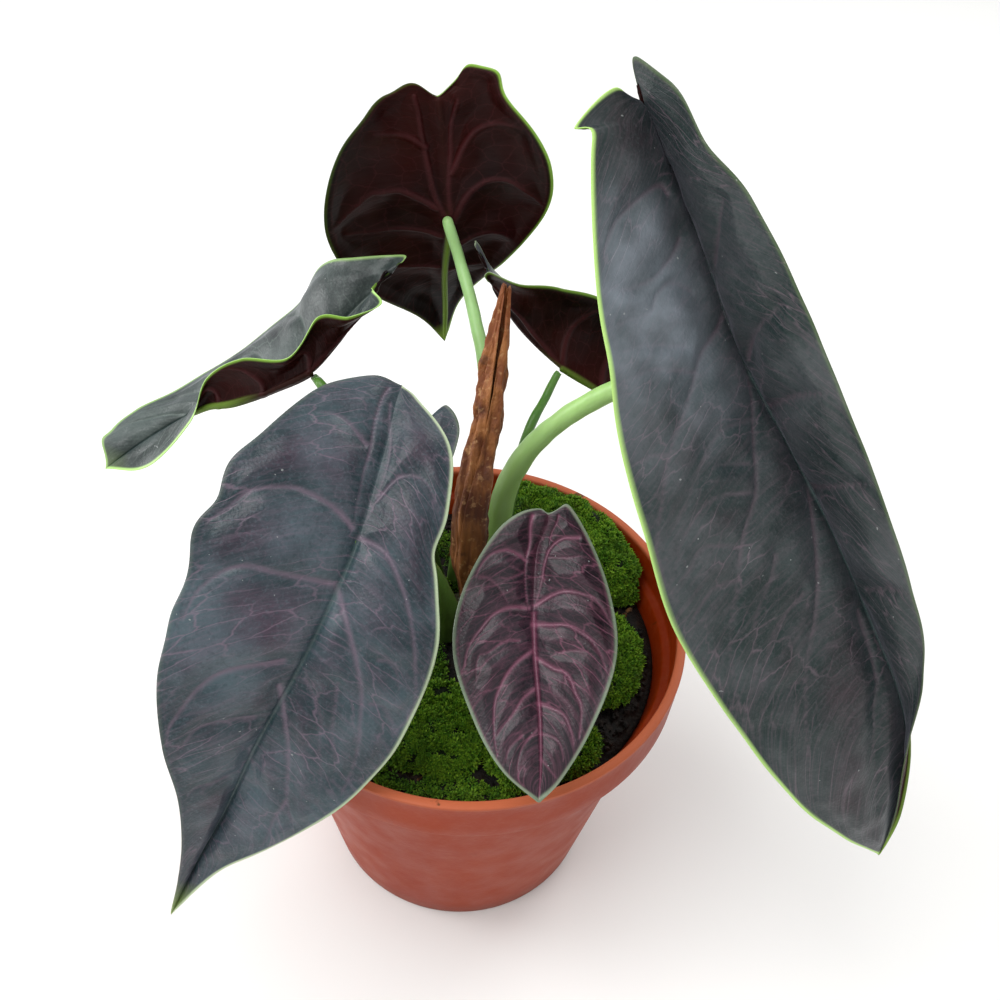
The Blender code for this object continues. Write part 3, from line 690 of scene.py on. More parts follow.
def veinlets(tree, length_mm, width_mm, line):
    """A net of thin lines, 1 on a line: the edges of cells drawn out along the side veins."""
    place = add_node(tree, "ShaderNodeUVMap", uv_map=MAP)
    place = add_node(tree, "ShaderNodeVectorMath", {0: place, 1: (100 / length_mm, 100 / width_mm, 1)},
                     operation="MULTIPLY")
    bend = add_node(tree, "ShaderNodeTexNoise", {"Vector": place, "Scale": 2.5, "Detail": 2.0}, "Color")
    bent = add_node(tree, "ShaderNodeVectorMath", {0: bend, 1: (0.35, 0.35, 0), 2: place},
                    operation="MULTIPLY_ADD")
    cells = add_node(tree, "ShaderNodeTexVoronoi", {"Vector": bent, "Scale": 1.0}, "Distance",
                     feature="DISTANCE_TO_EDGE", voronoi_dimensions="2D")
    return add_node(tree, "ShaderNodeMapRange", {"Value": cells, "From Min": 0.0, "From Max": line,
                                                 "To Min": 1.0, "To Max": 0.0})


def upper_skin(name, tints):
    """Living cuticle: dark tissue, a purple flush between the veins, and veins of their own colour."""
    material, tree, shader = fresh_material(name, 0.40, 1.45)
    flush = add_node(tree, "ShaderNodeMath", {0: stored(tree, "between"), 1: patches(tree, 26, 0.32, 0.62)},
                     operation="MULTIPLY")
    net = add_node(tree, "ShaderNodeMath", {0: veinlets(tree, 9.0, 3.6, 0.055),
                                            1: patches(tree, 15, 0.40, 0.60)}, operation="MULTIPLY")
    tip = add_node(tree, "ShaderNodeMapRange", {"Value": stored(tree, "along"), "From Min": 0.93,
                                                "From Max": 0.995})
    # A patch of painted sheen, a broad pale reflection, greys one part of an old blade.
    painted_sheen_patch = add_node(tree, "ShaderNodeMath", {0: stored(tree, "painted_sheen_zone"), 1: patches(tree, 12, 0.20, 0.70)},
                   operation="MULTIPLY")
    paint(tree, shader, tints["ground"], [
        (flush, 0.85, tints["flush"]),
        # Soft pale grey patches of painted sheen.
        (patches(tree, 19, 0.42, 0.66), 0.55, tints["painted_sheen_and_mottle"]),
        (streaks(tree, 11.0, 1.3, 0.45, 0.72), tints["streak"], tints["vein"]),
        # The tissue is mottled cell by cell, too fine to show, so it is drawn at 0.7 mm.
        (patches(tree, 0.7, 0.52, 0.78, 2.0), 0.34, tints["painted_sheen_and_mottle"]),
        (patches(tree, 1.1, 0.52, 0.75, 2.0), 0.40, tints["ground"]),
        (net, tints["net"], tints["vein"]),
        (veinlets(tree, 3.2, 1.5, 0.06), 0.10, tints["vein"]),
        (stored(tree, "vein"), tints["rib"], tints["vein"]),
        (stored(tree, "midrib"), 0.45, tints["midrib"]),
        # Painted sheen: a pale grey patch standing for a broad reflection.
        (painted_sheen_patch, tints["painted_sheen_patch"], "#8d96a0"),
        # A few specks of dust lie on the leaf.
        (patches(tree, 0.9, 0.862, 0.875, 0.0), 0.5, "#a8acaa"),
        (tip, tints["tip"], "#6f8a1c"),
        (stored(tree, "pale"), 1.0, tints["margin"]),
    ])
    gloss = add_node(tree, "ShaderNodeMapRange", {"Value": patches(tree, 5, 0.3, 0.7), "To Min": 0.34,
                                                  "To Max": 0.47})
    tree.links.new(gloss, shader.inputs["Roughness"])
    shader.inputs["Sheen Weight"].default_value = tints["sheen"]
    shader.inputs["Sheen Roughness"].default_value = 0.4
    shader.inputs["Sheen Tint"].default_value = screen("#b8b6c8")
    grooves = add_node(tree, "ShaderNodeMath", {0: patches(tree, 0.7, 0.3, 0.7, 1.0), 1: net},
                       operation="SUBTRACT")
    relief(tree, shader, grooves, 0.00006, 0.6)
    return material


def under_skin(name):
    """The underside: maroon tissue, smooth and a little shiny, the midrib green towards the tip."""
    material, tree, shader = fresh_material(name, 0.42, 1.38)
    tipward = add_node(tree, "ShaderNodeMapRange", {"Value": stored(tree, "along"), "From Min": 0.48,
                                                    "From Max": 0.58})
    green_rib = add_node(tree, "ShaderNodeMath", {0: tipward, 1: stored(tree, "midrib")},
                         operation="MULTIPLY")
    tip = add_node(tree, "ShaderNodeMapRange", {"Value": stored(tree, "along"), "From Min": 0.92,
                                                "From Max": 0.98})
    paint(tree, shader, "#080101", [
        (patches(tree, 30, 0.38, 0.68), 0.8, "#300703"),
        (streaks(tree, 14.0, 1.8, 0.45, 0.75), 0.10, "#3e2828"),
        (veinlets(tree, 6.0, 3.0, 0.05), 0.22, "#4d2426"),
        (stored(tree, "vein"), 0.42, "#5e3034"),
        (stored(tree, "midrib"), 0.6, "#3a2018"),
        (green_rib, 0.95, "#6f8f36"),
        (tip, 0.9, "#7f9f3c"),
        (stored(tree, "pale"), 0.9, "#8ab848"),
    ])
    shader.inputs["Specular IOR Level"].default_value = 0.18
    relief(tree, shader, streaks(tree, 14.0, 2.2, 0.35, 0.7), 0.00015, 0.5)
    return material


def cut_edge(name, margin):
    """The rim of the blade, a thin cord of tissue, pale on one side of the leaf and dark on the other."""
    material, tree, shader = fresh_material(name, 0.45, 1.45)
    paint(tree, shader, "#1b2220", [(stored(tree, "pale"), 1.0, margin)])
    return material


print("skins ready")

# %% [markdown]
# ## The seven blades
# Blades of one plant differ with age. The small young one at the front is the most purple, with
# rosy veins. The old ones have gone teal and grey, with paler patches of painted sheen.

# %% Make the blades
OLD = dict(ground="#122a30", flush="#3a1f33", painted_sheen_and_mottle="#566870", vein="#846c7e", midrib="#47605e",
           margin="#c6d8ae", streak=0.20, net=0.42, rib=0.62, sheen=0.08, tip=0.9, painted_sheen_patch=0.0)
TINTS = {
    "front_left": OLD,
    "front_small": dict(OLD, ground="#0e060d", flush="#260a1b", painted_sheen_and_mottle="#2c232d", vein="#985c74",
                        midrib="#94506a", margin="#94ab8c", streak=0.20, net=0.40, rib=0.70, tip=0.0),
    "right_large": dict(OLD, ground="#0e2422", flush="#2a1e24", painted_sheen_and_mottle="#4c5254", vein="#75616c",
                        margin="#b8e27c", sheen=0.20, rib=0.55, tip=0.0, painted_sheen_patch=0.9),
    "left_curled": dict(OLD, ground="#232e2c", flush="#2a2b2e", painted_sheen_and_mottle="#5b6764", vein="#66726c",
                        margin="#b0dc7c", sheen=0.25, tip=0.3),
}
underside = under_skin("maroon_leaf_underside")
for name, leaf in LEAVES.items():
    tints = TINTS.get(name, OLD)
    top = upper_skin("leaf_cuticle_" + name, tints)
    blade = make_blade(name, leaf, [top, underside, cut_edge("leaf_edge_" + name, tints["margin"])])
    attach(blade, "root")
    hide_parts("leaf_" + name)

# %% [markdown]
# ## Stalks
# A petiole is a round juicy stalk, widest where it wraps the crown and slightly swollen again where
# it enters the blade. It could be extruded ring by ring, but a path with a round bevel bends more
# evenly, and each of its points carries its own radius. It is turned into a mesh at the end.

# %% Petioles
def path_tube(name, points_mm, radii_mm, sides):
    """A round tube through points, with a radius at each, as a closed mesh."""
    bpy.ops.object.select_all(action="DESELECT")
    bpy.ops.curve.primitive_nurbs_path_add()
    tube = bpy.context.object
    tube.name = name
    curve = tube.data
    curve.splines.clear()
    spline = curve.splines.new("POLY")
    spline.points.add(len(points_mm) - 1)
    for point, place, radius in zip(spline.points, points_mm, radii_mm):
        point.co = (*(float(c) * MM for c in place), 1.0)
        point.radius = float(radius)
    curve.dimensions = "3D"
    curve.bevel_depth = MM
    curve.bevel_resolution = sides // 2 - 2
    curve.use_fill_caps = True
    take(tube)
    bpy.ops.object.convert(target="MESH")
    tube = added(name)
    return tube


def petiole_skin(name, foot, top):
    """Green stalk tissue: smooth and juicy, darker and browner near the crown."""
    material, tree, shader = fresh_material(name, 0.36, 1.42)
    rise = add_node(tree, "ShaderNodeMapRange", {"Value": stored(tree, "along"), "From Min": 0.10,
                                                 "From Max": 0.50})
    paint(tree, shader, foot, [
        (rise, 1.0, top),
        (patches(tree, 3.0, 0.35, 0.65, 3.0, (1, 1, 0.15)), 0.22, "#7c9c50"),
    ])
    shader.inputs["Subsurface Weight"].default_value = 0.12
    shader.inputs["Subsurface Radius"].default_value = (0.3, 0.5, 0.1)
    shader.inputs["Subsurface Scale"].default_value = 0.004
    relief(tree, shader, patches(tree, 0.8), 0.00005, 0.4)
    return material


def make_petiole(name, leaf, skin):
    sheet, normals = BLADE_OF[name]
    row = round(leaf["hub"] / (len(leaf["stations"]) + 1) * (sheet.shape[0] - 1))
    middle = sheet.shape[1] // 2
    joint = sheet[row, middle] - normals[row, middle] * 1.75
    below = sheet[row, middle] - normals[row, middle] * (1.75 + 1.3 * leaf["radii"][-1])
    points = smooth_rail(leaf["petiole"][:-1] + [tuple(below), tuple(joint)], 14)
    given = leaf["radii"] + [leaf["radii"][-1] * 0.85]
    radii = np.interp(np.linspace(0, len(given) - 1, len(points)), np.arange(len(given)), given)
    stalk = path_tube("stalk_" + name, points, radii, 20)
    tree = KDTree(len(points))
    for index, place in enumerate(points):
        tree.insert(place * MM, index)
    tree.balance()
    places = points_of(stalk)
    share = np.array([tree.find(p)[1] for p in places]) / (len(points) - 1)
    store(stalk.data, "along", share)
    lumps = np.array([noise.noise(Vector(p) * 260) for p in places])
    axis = points[np.round(share * (len(points) - 1)).astype(int)] * MM
    away = places - axis
    move_points(stalk, axis + away * (1 + 0.07 * lumps)[:, None])
    stalk.data.materials.append(skin)
    take(stalk)
    bpy.ops.object.shade_smooth_by_angle(angle=math.radians(50))
    return stalk


STALK_TINTS = {
    "right_large": ("#5a7a34", "#a3cc7c"),
    "back_tall": ("#5a7a34", "#a4d088"),
    "front_left": ("#2c4014", "#4d7028"),
    "front_small": ("#3c5020", "#6f8f48"),
}
for name, leaf in LEAVES.items():
    foot, top = STALK_TINTS.get(name, ("#2c4414", "#4a7a2c"))
    stalk_skin = petiole_skin("stalk_skin_" + name, foot, top)
    stalk = make_petiole(name, leaf, stalk_skin)
    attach(stalk, "root")
    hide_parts("petiole_" + name)
    print(stalk.name, "faces:", faces_of(stalk))

# %% [markdown]
# ## The pot
# A nursery pot is blown or pressed from thin plastic: a tapered wall, a stiffening band round the
# rim with a ledge inside it, and a flat base with drain holes. It could be spun from a profile, but
# extruding a disc ring by ring, out at the base, up the wall, over the lip and down inside, is how
# the wall would be traced by a finger, and it leaves one closed skin.

# %% Pot
POT_LOW, POT_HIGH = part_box("pot")
RIM = POT_HIGH[0] / MM
POT_TOP = POT_HIGH[2] / MM
BASE = 41.0
BAND = 14.0
WALL_TOP = 54.5
WALL = 1.5
FLOOR = 1.8


def inner_wall(height):
    """Radius of the wall's inner face at a height, in mm."""
    return BASE - WALL + (WALL_TOP - BASE) * height / (POT_TOP - BAND)


def extrude_rings(rings):
    """Extrudes the selected disc through rings of (radius, height), all in mm."""
    radius, height = rings[0]
    for next_radius, next_height in rings[1:]:
        bpy.ops.mesh.extrude_region_move(TRANSFORM_OT_translate={"value": (0, 0, (next_height - height) * MM)})
        grow = next_radius / radius
        bpy.ops.transform.resize(value=(grow, grow, 1), center_override=(0, 0, 0))
        radius, height = next_radius, next_height


def make_pot():
    band_foot = POT_TOP - BAND
    rings = [(BASE - 1.2, 0), (BASE - 0.35, 0.35), (BASE, 1.2)]
    rings += [(BASE + (WALL_TOP - BASE) * k / 12, 1.2 + (band_foot - 1.8) * k / 12) for k in range(1, 12)]
    rings += [(WALL_TOP, band_foot - 0.6), (WALL_TOP + 0.25, band_foot - 0.15), (WALL_TOP + 0.7, band_foot),
              (RIM - 1.2, band_foot), (RIM - 0.75, band_foot + 0.15), (RIM - 0.6, band_foot + 0.6),
              (RIM - 0.45, band_foot + 4.0), (RIM - 0.2, band_foot + 9.0),
              (RIM - 0.08, POT_TOP - 1.0), (RIM, POT_TOP - 0.7), (RIM - 0.12, POT_TOP - 0.2),
              (RIM - 0.5, POT_TOP), (RIM - 2.0, POT_TOP), (RIM - 2.4, POT_TOP - 0.25),
              (RIM - 2.6, POT_TOP - 0.8), (RIM - 2.8, POT_TOP - 8.4), (RIM - 3.1, POT_TOP - 8.8),
              (RIM - 3.6, POT_TOP - 9.0), (RIM - 5.0, POT_TOP - 9.3), (RIM - 5.4, POT_TOP - 9.8)]
    rings += [(inner_wall(h), h) for h in np.linspace(band_foot, FLOOR + 2.0, 10)]
    rings += [(inner_wall(FLOOR) - 0.4, FLOOR + 0.5), (inner_wall(FLOOR) - 1.4, FLOOR), (10.0, FLOOR)]
    bpy.ops.object.select_all(action="DESELECT")
    bpy.ops.mesh.primitive_circle_add(vertices=160, radius=rings[0][0] * MM, fill_type="NGON")
    pot = added("nursery_pot")
    open_mesh(pot)
    extrude_rings(rings)
    bpy.ops.mesh.select_all(action="SELECT")
    bpy.ops.mesh.normals_make_consistent(inside=False)
    close_mesh()
    return pot


def drill_drains(pot):
    """Six drain holes through the base, cut by one boolean each."""
    for k in range(6):
        turn = math.tau * (k + 0.5) / 6
        bpy.ops.object.select_all(action="DESELECT")
        bpy.ops.mesh.primitive_cylinder_add(vertices=32, radius=4 * MM, depth=8 * MM,
                                            location=(0.028 * math.cos(turn), 0.028 * math.sin(turn), 0))
        drill = added("drain_drill")
        apply_modifier(pot, "BOOLEAN", operation="DIFFERENCE", solver="EXACT", object=drill)
        bpy.data.objects.remove(drill, do_unlink=True)


def pot_plastic():
    """Pressed polypropylene in terracotta colour: satin, a little chalky, with a painted highlight along the top
    of the lip.
    """
    material, tree, shader = fresh_material("terracotta_polypropylene", 0.42, 1.42)
    foot = height_band(tree, 9, 0)
    under_band = height_band(tree, 50, 84)
    # Splashed potting mix has dried in specks and smears under the band.
    dirt = add_node(tree, "ShaderNodeMath", {0: patches(tree, 7.5, 0.665, 0.70, 5.0, (1, 1, 0.45)),
                                             1: under_band}, operation="MULTIPLY")
    paint(tree, shader, "#8a2802", [
        (patches(tree, 45, 0.3, 0.7), 0.8, "#943306"),
        (patches(tree, 2.2, 0.45, 0.8, 4.0), 0.15, "#a86244"),
        # The top of the lip is painted paler: a painted highlight where light from above falls on it.
        (height_band(tree, POT_TOP - 1.4, POT_TOP - 0.1), 0.8, "#c26a48"),
        (dirt, 0.8, "#2a2a12"),
        (foot, 0.3, "#5c2a18"),
    ])
    gloss = add_node(tree, "ShaderNodeMapRange", {"Value": patches(tree, 9, 0.3, 0.7, 4.0), "To Min": 0.36,
                                                  "To Max": 0.52})
    tree.links.new(gloss, shader.inputs["Roughness"])
    shader.inputs["Specular IOR Level"].default_value = 0.2
    relief(tree, shader, patches(tree, 1.1, 0.2, 0.8, 4.0), 0.00006, 0.5)
    return material


pot = make_pot()
drill_drains(pot)
pot.data.materials.append(pot_plastic())
take(pot)
bpy.ops.object.shade_smooth_by_angle(angle=math.radians(40))
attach(pot, "root")
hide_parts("pot")
print("pot faces:", faces_of(pot))

# %% [markdown]
# ## The potting mix
# It is peat and bark, nearly black when wet, and coarse. A smooth disc with a bump would look like
# felt, so the bed is a real uneven surface, and loose crumbs, flakes of bark and white grains of
# perlite lie on it. Each kind is modelled once, with few faces, and strewn hundreds of times.

# %% Bed of potting mix
SOIL_LEVEL = 83.0
SOIL_MOUND = 4.0
CROWN_X, CROWN_Y = -1.0, 7.0


def soil_height(x, y):
    """Height of the bed in mm at a place in mm."""
    away = (x - CROWN_X) ** 2 + (y - CROWN_Y) ** 2
    return SOIL_LEVEL + SOIL_MOUND * math.exp(-away / 400.0)


def make_soil():
    floor, brim = FLOOR + 0.3, SOIL_LEVEL - 2.0
    edge = inner_wall(brim) - 0.3
    rings = [(inner_wall(floor) - 0.3, floor), (edge, brim)]
    rings += [(edge * k / 60, brim) for k in range(59, 0, -1)]
    bpy.ops.object.select_all(action="DESELECT")
    bpy.ops.mesh.primitive_circle_add(vertices=180, radius=rings[0][0] * MM, fill_type="NGON",
                                      location=(0, 0, floor * MM))
    soil = added("potting_mix")
    open_mesh(soil)
    extrude_rings(rings)
    bpy.ops.mesh.select_all(action="SELECT")
    bpy.ops.mesh.normals_make_consistent(inside=False)
    close_mesh()
    places = points_of(soil) / MM
    for p in places:
        if p[2] > brim - 0.1:
            inside = min(1.0, (edge - math.hypot(p[0], p[1])) / 3.0)
            spot = Vector((p[0], p[1], 0))
            rough = 1.3 * noise.fractal(spot * 0.16, 1.0, 2.0, 3) + 0.7 * noise.noise(spot * 0.9)
            p[2] = brim + inside * (soil_height(p[0], p[1]) - brim + rough)
    move_points(soil, places * MM)
    return soil


def wet_peat():
    """Wet peat and bark: almost black, broken by brown fibre."""
    material, tree, shader = fresh_material("wet_peat", 0.75, 1.4)
    paint(tree, shader, "#0b0906", [
        (patches(tree, 2.5, 0.4, 0.65, 5.0), 0.9, "#221810"),
        (patches(tree, 9, 0.62, 0.75), 0.8, "#3a2a18"),
    ])
    relief(tree, shader, patches(tree, 1.2, 0.2, 0.8, 6.0), 0.0006, 1.0)
    return material


soil = make_soil()
peat = wet_peat()
soil.data.materials.append(peat)
take(soil)
bpy.ops.object.shade_smooth()
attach(soil, "root")
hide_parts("soil")
print("soil faces:", faces_of(soil))

# %% One model strewn many times
def strewn(name, model, places, turns, scales):
    """One piece made of many copies of a model. Places are in metres; the model is used up."""
    shape = points_of(model)
    faces = [tuple(face.vertices) for face in model.data.polygons]
    count = len(shape)
    points = np.empty((len(places) * count, 3))
    all_faces = []
    for k, (place, turn, scale) in enumerate(zip(places, turns, scales)):
        matrix = np.array(turn.to_3x3())
        points[k * count:(k + 1) * count] = (shape * scale) @ matrix.T + place
        all_faces += [tuple(v + k * count for v in face) for face in faces]
    mesh = bpy.data.meshes.new(name)
    mesh.from_pydata(points.tolist(), [], all_faces)
    piece = bpy.data.objects.new(name, mesh)
    bpy.context.collection.objects.link(piece)
    bpy.data.objects.remove(model, do_unlink=True)
    return piece


def crumb_model(subdivisions, squash):
    """A broken lump of about 1 mm."""
    bpy.ops.object.select_all(action="DESELECT")
    bpy.ops.mesh.primitive_ico_sphere_add(subdivisions=subdivisions, radius=0.5 * MM)
    lump = added("lump")
    places = points_of(lump)
    for p in places:
        p *= 1 + 0.45 * noise.noise(Vector(p) * 1900)
    move_points(lump, places * np.array(squash))
    return lump


def random_turn(draw):
    return Matrix.Rotation(draw.uniform(0, math.tau), 3, Vector(draw.normal(size=3)).normalized())


def strew_on_soil(name, model, count, size_low, size_high, seed, reach=50.0, keep_off=8.0):
    """Strews a model over the bed, clear of the crown and the wall."""
    draw = np.random.default_rng(seed)
    places, turns, scales = [], [], []
    while len(places) < count:
        x, y = draw.uniform(-reach, reach, 2)
        if math.hypot(x, y) > reach or math.hypot(x - CROWN_X, y - CROWN_Y) < keep_off:
            continue
        size = draw.uniform(size_low, size_high)
        places.append(((x * MM, y * MM, (soil_height(x, y) + 0.15 * size) * MM)))
        turns.append(random_turn(draw))
        scales.append(size)
    return strewn(name, model, np.array(places), turns, np.array(scales))


def loose_grain(name, dark, pale, roughness):
    """A dry grain of bark or perlite, mottled between two colours."""
    material, tree, shader = fresh_material(name, roughness, 1.45)
    paint(tree, shader, dark, [(patches(tree, 1.5), 1.0, pale)])
    relief(tree, shader, patches(tree, 0.5, 0.2, 0.8, 4.0), 0.0002, 0.8)
    return material


crumbs = strew_on_soil("peat_crumbs", crumb_model(1, (1.0, 0.8, 0.7)), 2600, 0.7, 2.6, 3, reach=51.0)
crumbs.data.materials.append(peat)
bark = strew_on_soil("bark_flakes", crumb_model(1, (1.0, 0.55, 0.22)), 90, 2.0, 4.5, 8)
bark.data.materials.append(loose_grain("tan_bark", "#3a2413", "#8a6138", 0.8))
perlite = strew_on_soil("perlite_grains", crumb_model(2, (1.0, 0.85, 0.8)), 26, 1.0, 2.2, 21, reach=48.0)
perlite.data.materials.append(loose_grain("white_perlite", "#b9b2a2", "#f1ede2", 0.9))
for grains in (crumbs, bark, perlite):
    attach(grains, "root")
    print(grains.name, "faces:", faces_of(grains))

# %% [markdown]
# ## Moss
# The moss grows in low cushions: thousands of shoots a few millimetres long, each a star of narrow
# leaflets, bright at the tip and brown below. Hair could stand for it, but the exported mesh would
# lose it. One shoot is modelled with a couple of dozen faces and set closely over each mound, tilted
# with its slope. The mound under them is painted dark, as painted shade deep in the gaps between the shoots.

# %% Mounds and shoots
MOSS = {
    "moss_back_right": (25.0, 33.0, 25.0, 17.0, -42.0, 17.0),
    "moss_right": (38.0, -5.0, 17.0, 10.0, 80.0, 6.0),
    "moss_front_right": (22.0, -35.0, 15.0, 10.0, 25.0, 7.0),
    "moss_front": (-7.0, -31.0, 16.0, 13.0, 0.0, 7.0),
    "moss_back_left": (-26.0, 34.0, 13.0, 9.0, 40.0, 6.0),
}
MOSS_REACH = 52.3
SHOOTS_PER_MM2 = 3.2
LEAFLETS = 7


def moss_point(place, share, angle, rise):
    """A point of a cushion in mm, from its share of the outline, its angle and its rise (0 to 1)."""
    centre_x, centre_y, half_length, half_width, turn, height = place
    turn = math.radians(turn)
    reach = share * (1.0 + 0.07 * math.sin(3 * angle + centre_x) + 0.04 * math.sin(5 * angle))
    u, v = half_length * reach * math.cos(angle), half_width * reach * math.sin(angle)
    x = centre_x + u * math.cos(turn) - v * math.sin(turn)
    y = centre_y + u * math.sin(turn) + v * math.cos(turn)
    inside = min(1.0, (MOSS_REACH + 3.6 * min(1.0, 2.0 * rise)) / math.hypot(x, y))
    x, y = x * inside, y * inside
    lumps = 1.0 + 0.12 * math.sin(0.55 * x + 1.0) * math.cos(0.5 * y)
    lumps += 0.16 * noise.noise(Vector((x, y, 0)) * 0.22)
    return x, y, soil_height(x, y) + 0.3 + rise * (height - 1.2) * lumps


def make_mound(name, place):
    """A domed bed for the shoots: a disc extruded up and shaped ring by ring."""
    bpy.ops.object.select_all(action="DESELECT")
    bpy.ops.mesh.primitive_circle_add(vertices=60, radius=1.0, fill_type="NGON")
    mound = added(name + "_mound")
    open_mesh(mound)
    shares = [1.0] + list(np.linspace(0.98, 0.06, 16))
    extrude_rings([(share / MM, height / MM) for share, height in zip([1.0] + shares, [0] + list(range(1, 18)))])
    bpy.ops.mesh.select_all(action="SELECT")
    bpy.ops.mesh.normals_make_consistent(inside=False)
    close_mesh()
    places = points_of(mound)
    for p in places:
        share, angle = math.hypot(p[0], p[1]), math.atan2(p[1], p[0])
        rise = 0.0 if p[2] < 0.5 else max(0.06, math.sqrt(max(0.0, 1 - share ** 4)))
        p[:] = moss_point(place, share, angle, rise)
    move_points(mound, places * MM)
    return mound


def shoot_model(leaflets, length):
    """One moss shoot: a ring of leaflets round a bud, each a narrow diamond bent outward."""
    bpy.ops.object.select_all(action="DESELECT")
    bpy.ops.mesh.primitive_plane_add(size=1.0)
    shoot = added("shoot")
    open_mesh(shoot)
    bpy.ops.mesh.delete(type="VERT")
    close_mesh()
    points, faces = [], []
    for k in range(leaflets):
        turn = 2.4 * k
        lean = 0.25 + 0.75 * (k / leaflets)
        out = np.array((math.cos(turn), math.sin(turn), 0.0))
        side = np.array((-math.sin(turn), math.cos(turn), 0.0))
        foot = np.array((0, 0, 0.28 * length * (1 - k / leaflets)))
        middle = foot + out * 0.34 * length * lean + np.array((0, 0, 0.42 * length * (1.25 - lean)))
        tip = foot + out * 0.78 * length * lean + np.array((0, 0, 0.80 * length * (1.15 - lean)))
        start = len(points)
        points += [foot, middle - side * 0.13 * length, tip, middle + side * 0.13 * length]
        faces += [(start, start + 1, start + 3), (start + 1, start + 2, start + 3)]
    shoot.data.from_pydata([tuple(p * MM) for p in points], [], faces)
    return shoot


def grow_shoots(name, mound, seed):
    """Sets shoots over the upper side of a mound, tilted with its slope."""
    draw = np.random.default_rng(seed)
    places, turns, scales = [], [], []
    for face in mound.data.polygons:
        if face.normal.z < 0.1:
            continue
        corners = [mound.data.vertices[v].co for v in face.vertices]
        for _ in range(draw.poisson(face.area / MM ** 2 * SHOOTS_PER_MM2)):
            mix = draw.dirichlet(np.ones(len(corners)))
            spot = sum((c * w for c, w in zip(corners, mix)), Vector())
            clump = noise.noise(spot * 330)
            if clump < -0.42:
                continue
            lean = (face.normal + Vector((0, 0, 0.7)) + Vector(draw.normal(0, 0.22, 3))).normalized()
            turn = lean.to_track_quat("Z", "Y").to_matrix() @ Matrix.Rotation(draw.uniform(0, math.tau), 3, "Z")
            places.append(spot)
            turns.append(turn)
            scales.append(draw.uniform(0.75, 1.25) * (1 + 0.5 * clump))
    shoots = strewn(name + "_shoots", shoot_model(LEAFLETS, 1.9), np.array(places), turns, np.array(scales))
    store_tips(shoots, len(places), draw.uniform(0, 1, len(places)))
    return shoots


def moss_green():
    """Living moss leaflets: thin and matt, a sharp yellow green at the tips, dark below."""
    material, tree, shader = fresh_material("moss_leaflets", 0.7, 1.4)
    tip = stored(tree, "tipness")
    bright = add_node(tree, "ShaderNodeMath", {0: tip, 1: stored(tree, "tone")}, operation="MULTIPLY")
    paint(tree, shader, "#0e1c05", [
        (tip, 0.9, "#4f8f10"),
        (bright, 0.75, "#a6cc34"),
        (patches(tree, 13, 0.52, 0.70), 0.6, "#1c4a0a"),
        (patches(tree, 6, 0.60, 0.74), 0.5, "#4a4416"),
    ])
    return material


def moss_bed_painted_shade():
    """The bed under the shoots: old moss, painted dark as the shade deep in the gaps between them."""
    material, tree, shader = fresh_material("moss_bed_painted_shade", 0.9, 1.4)
    paint(tree, shader, "#0a1203", [(patches(tree, 3, detail=4.0), 1.0, "#1a2e08")])
    relief(tree, shader, patches(tree, 1.0, 0.2, 0.8, 5.0), 0.0006, 1.0)
    return material


def store_tips(shoots, count, tones):
    """Stores how near each point is to its leaflet's tip, and one tone for each shoot."""
    store(shoots.data, "tipness", np.tile([0.0, 0.55, 1.0, 0.55], LEAFLETS * count))
    store(shoots.data, "tone", np.repeat(tones, 4 * LEAFLETS))


# The bed under the shoots is painted dark: painted shade in the gaps between them.
leaflets_skin, painted_shade_bed_skin = moss_green(), moss_bed_painted_shade()
for seed, (name, place) in enumerate(MOSS.items()):
    mound = make_mound(name, place)
    shoots = grow_shoots(name, mound, 40 + seed)
    mound.data.materials.append(painted_shade_bed_skin)
    shoots.data.materials.append(leaflets_skin)
    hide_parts(name)
    for piece in (mound, shoots):
        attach(piece, "root")
    print(name, "shoot faces:", faces_of(shoots))

# %% Young moss between the cushions
def creep_over_soil(count, seed):
    """Shoots in loose drifts on the bed, thin towards the bare soil at the right."""
    draw = np.random.default_rng(seed)
    places, turns, scales = [], [], []
    while len(places) < count:
        x, y = draw.uniform(-52, 52, 2)
        away = math.hypot(x, y)
        drift = noise.noise(Vector((x, y, 4)) * 0.09) - 0.012 * max(0.0, x - 10) + 0.05
        if away > 51.5 or drift < draw.uniform(-0.1, 0.25) or math.hypot(x - CROWN_X, y - CROWN_Y) < 8:
            continue
        places.append((x * MM, y * MM, (soil_height(x, y) + draw.uniform(-0.2, 1.2)) * MM))
        lean = Vector((draw.normal(0, 0.35), draw.normal(0, 0.35), 1)).normalized()
        turns.append(lean.to_track_quat("Z", "Y").to_matrix()
                     @ Matrix.Rotation(draw.uniform(0, math.tau), 3, "Z"))
        scales.append(draw.uniform(0.6, 1.2))
    shoots = strewn("moss_creeping", shoot_model(LEAFLETS, 1.9), np.array(places), turns, np.array(scales))
    store_tips(shoots, count, draw.uniform(0, 0.8, count))
    return shoots


creeping = creep_over_soil(7000, 77)
creeping.data.materials.append(leaflets_skin)
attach(creeping, "root")
print("creeping moss faces:", faces_of(creeping))

# %% [markdown]
# ## Crown and dried sheath
# The stalks rise from a short stem, ringed by the scars of fallen leaves. In its middle stands the
# sheath of an old leaf, dried to brown paper. A sheet of paper is what it is, so it is a grid
# rolled round a line, more than one full turn at the foot and opening into a frayed point.

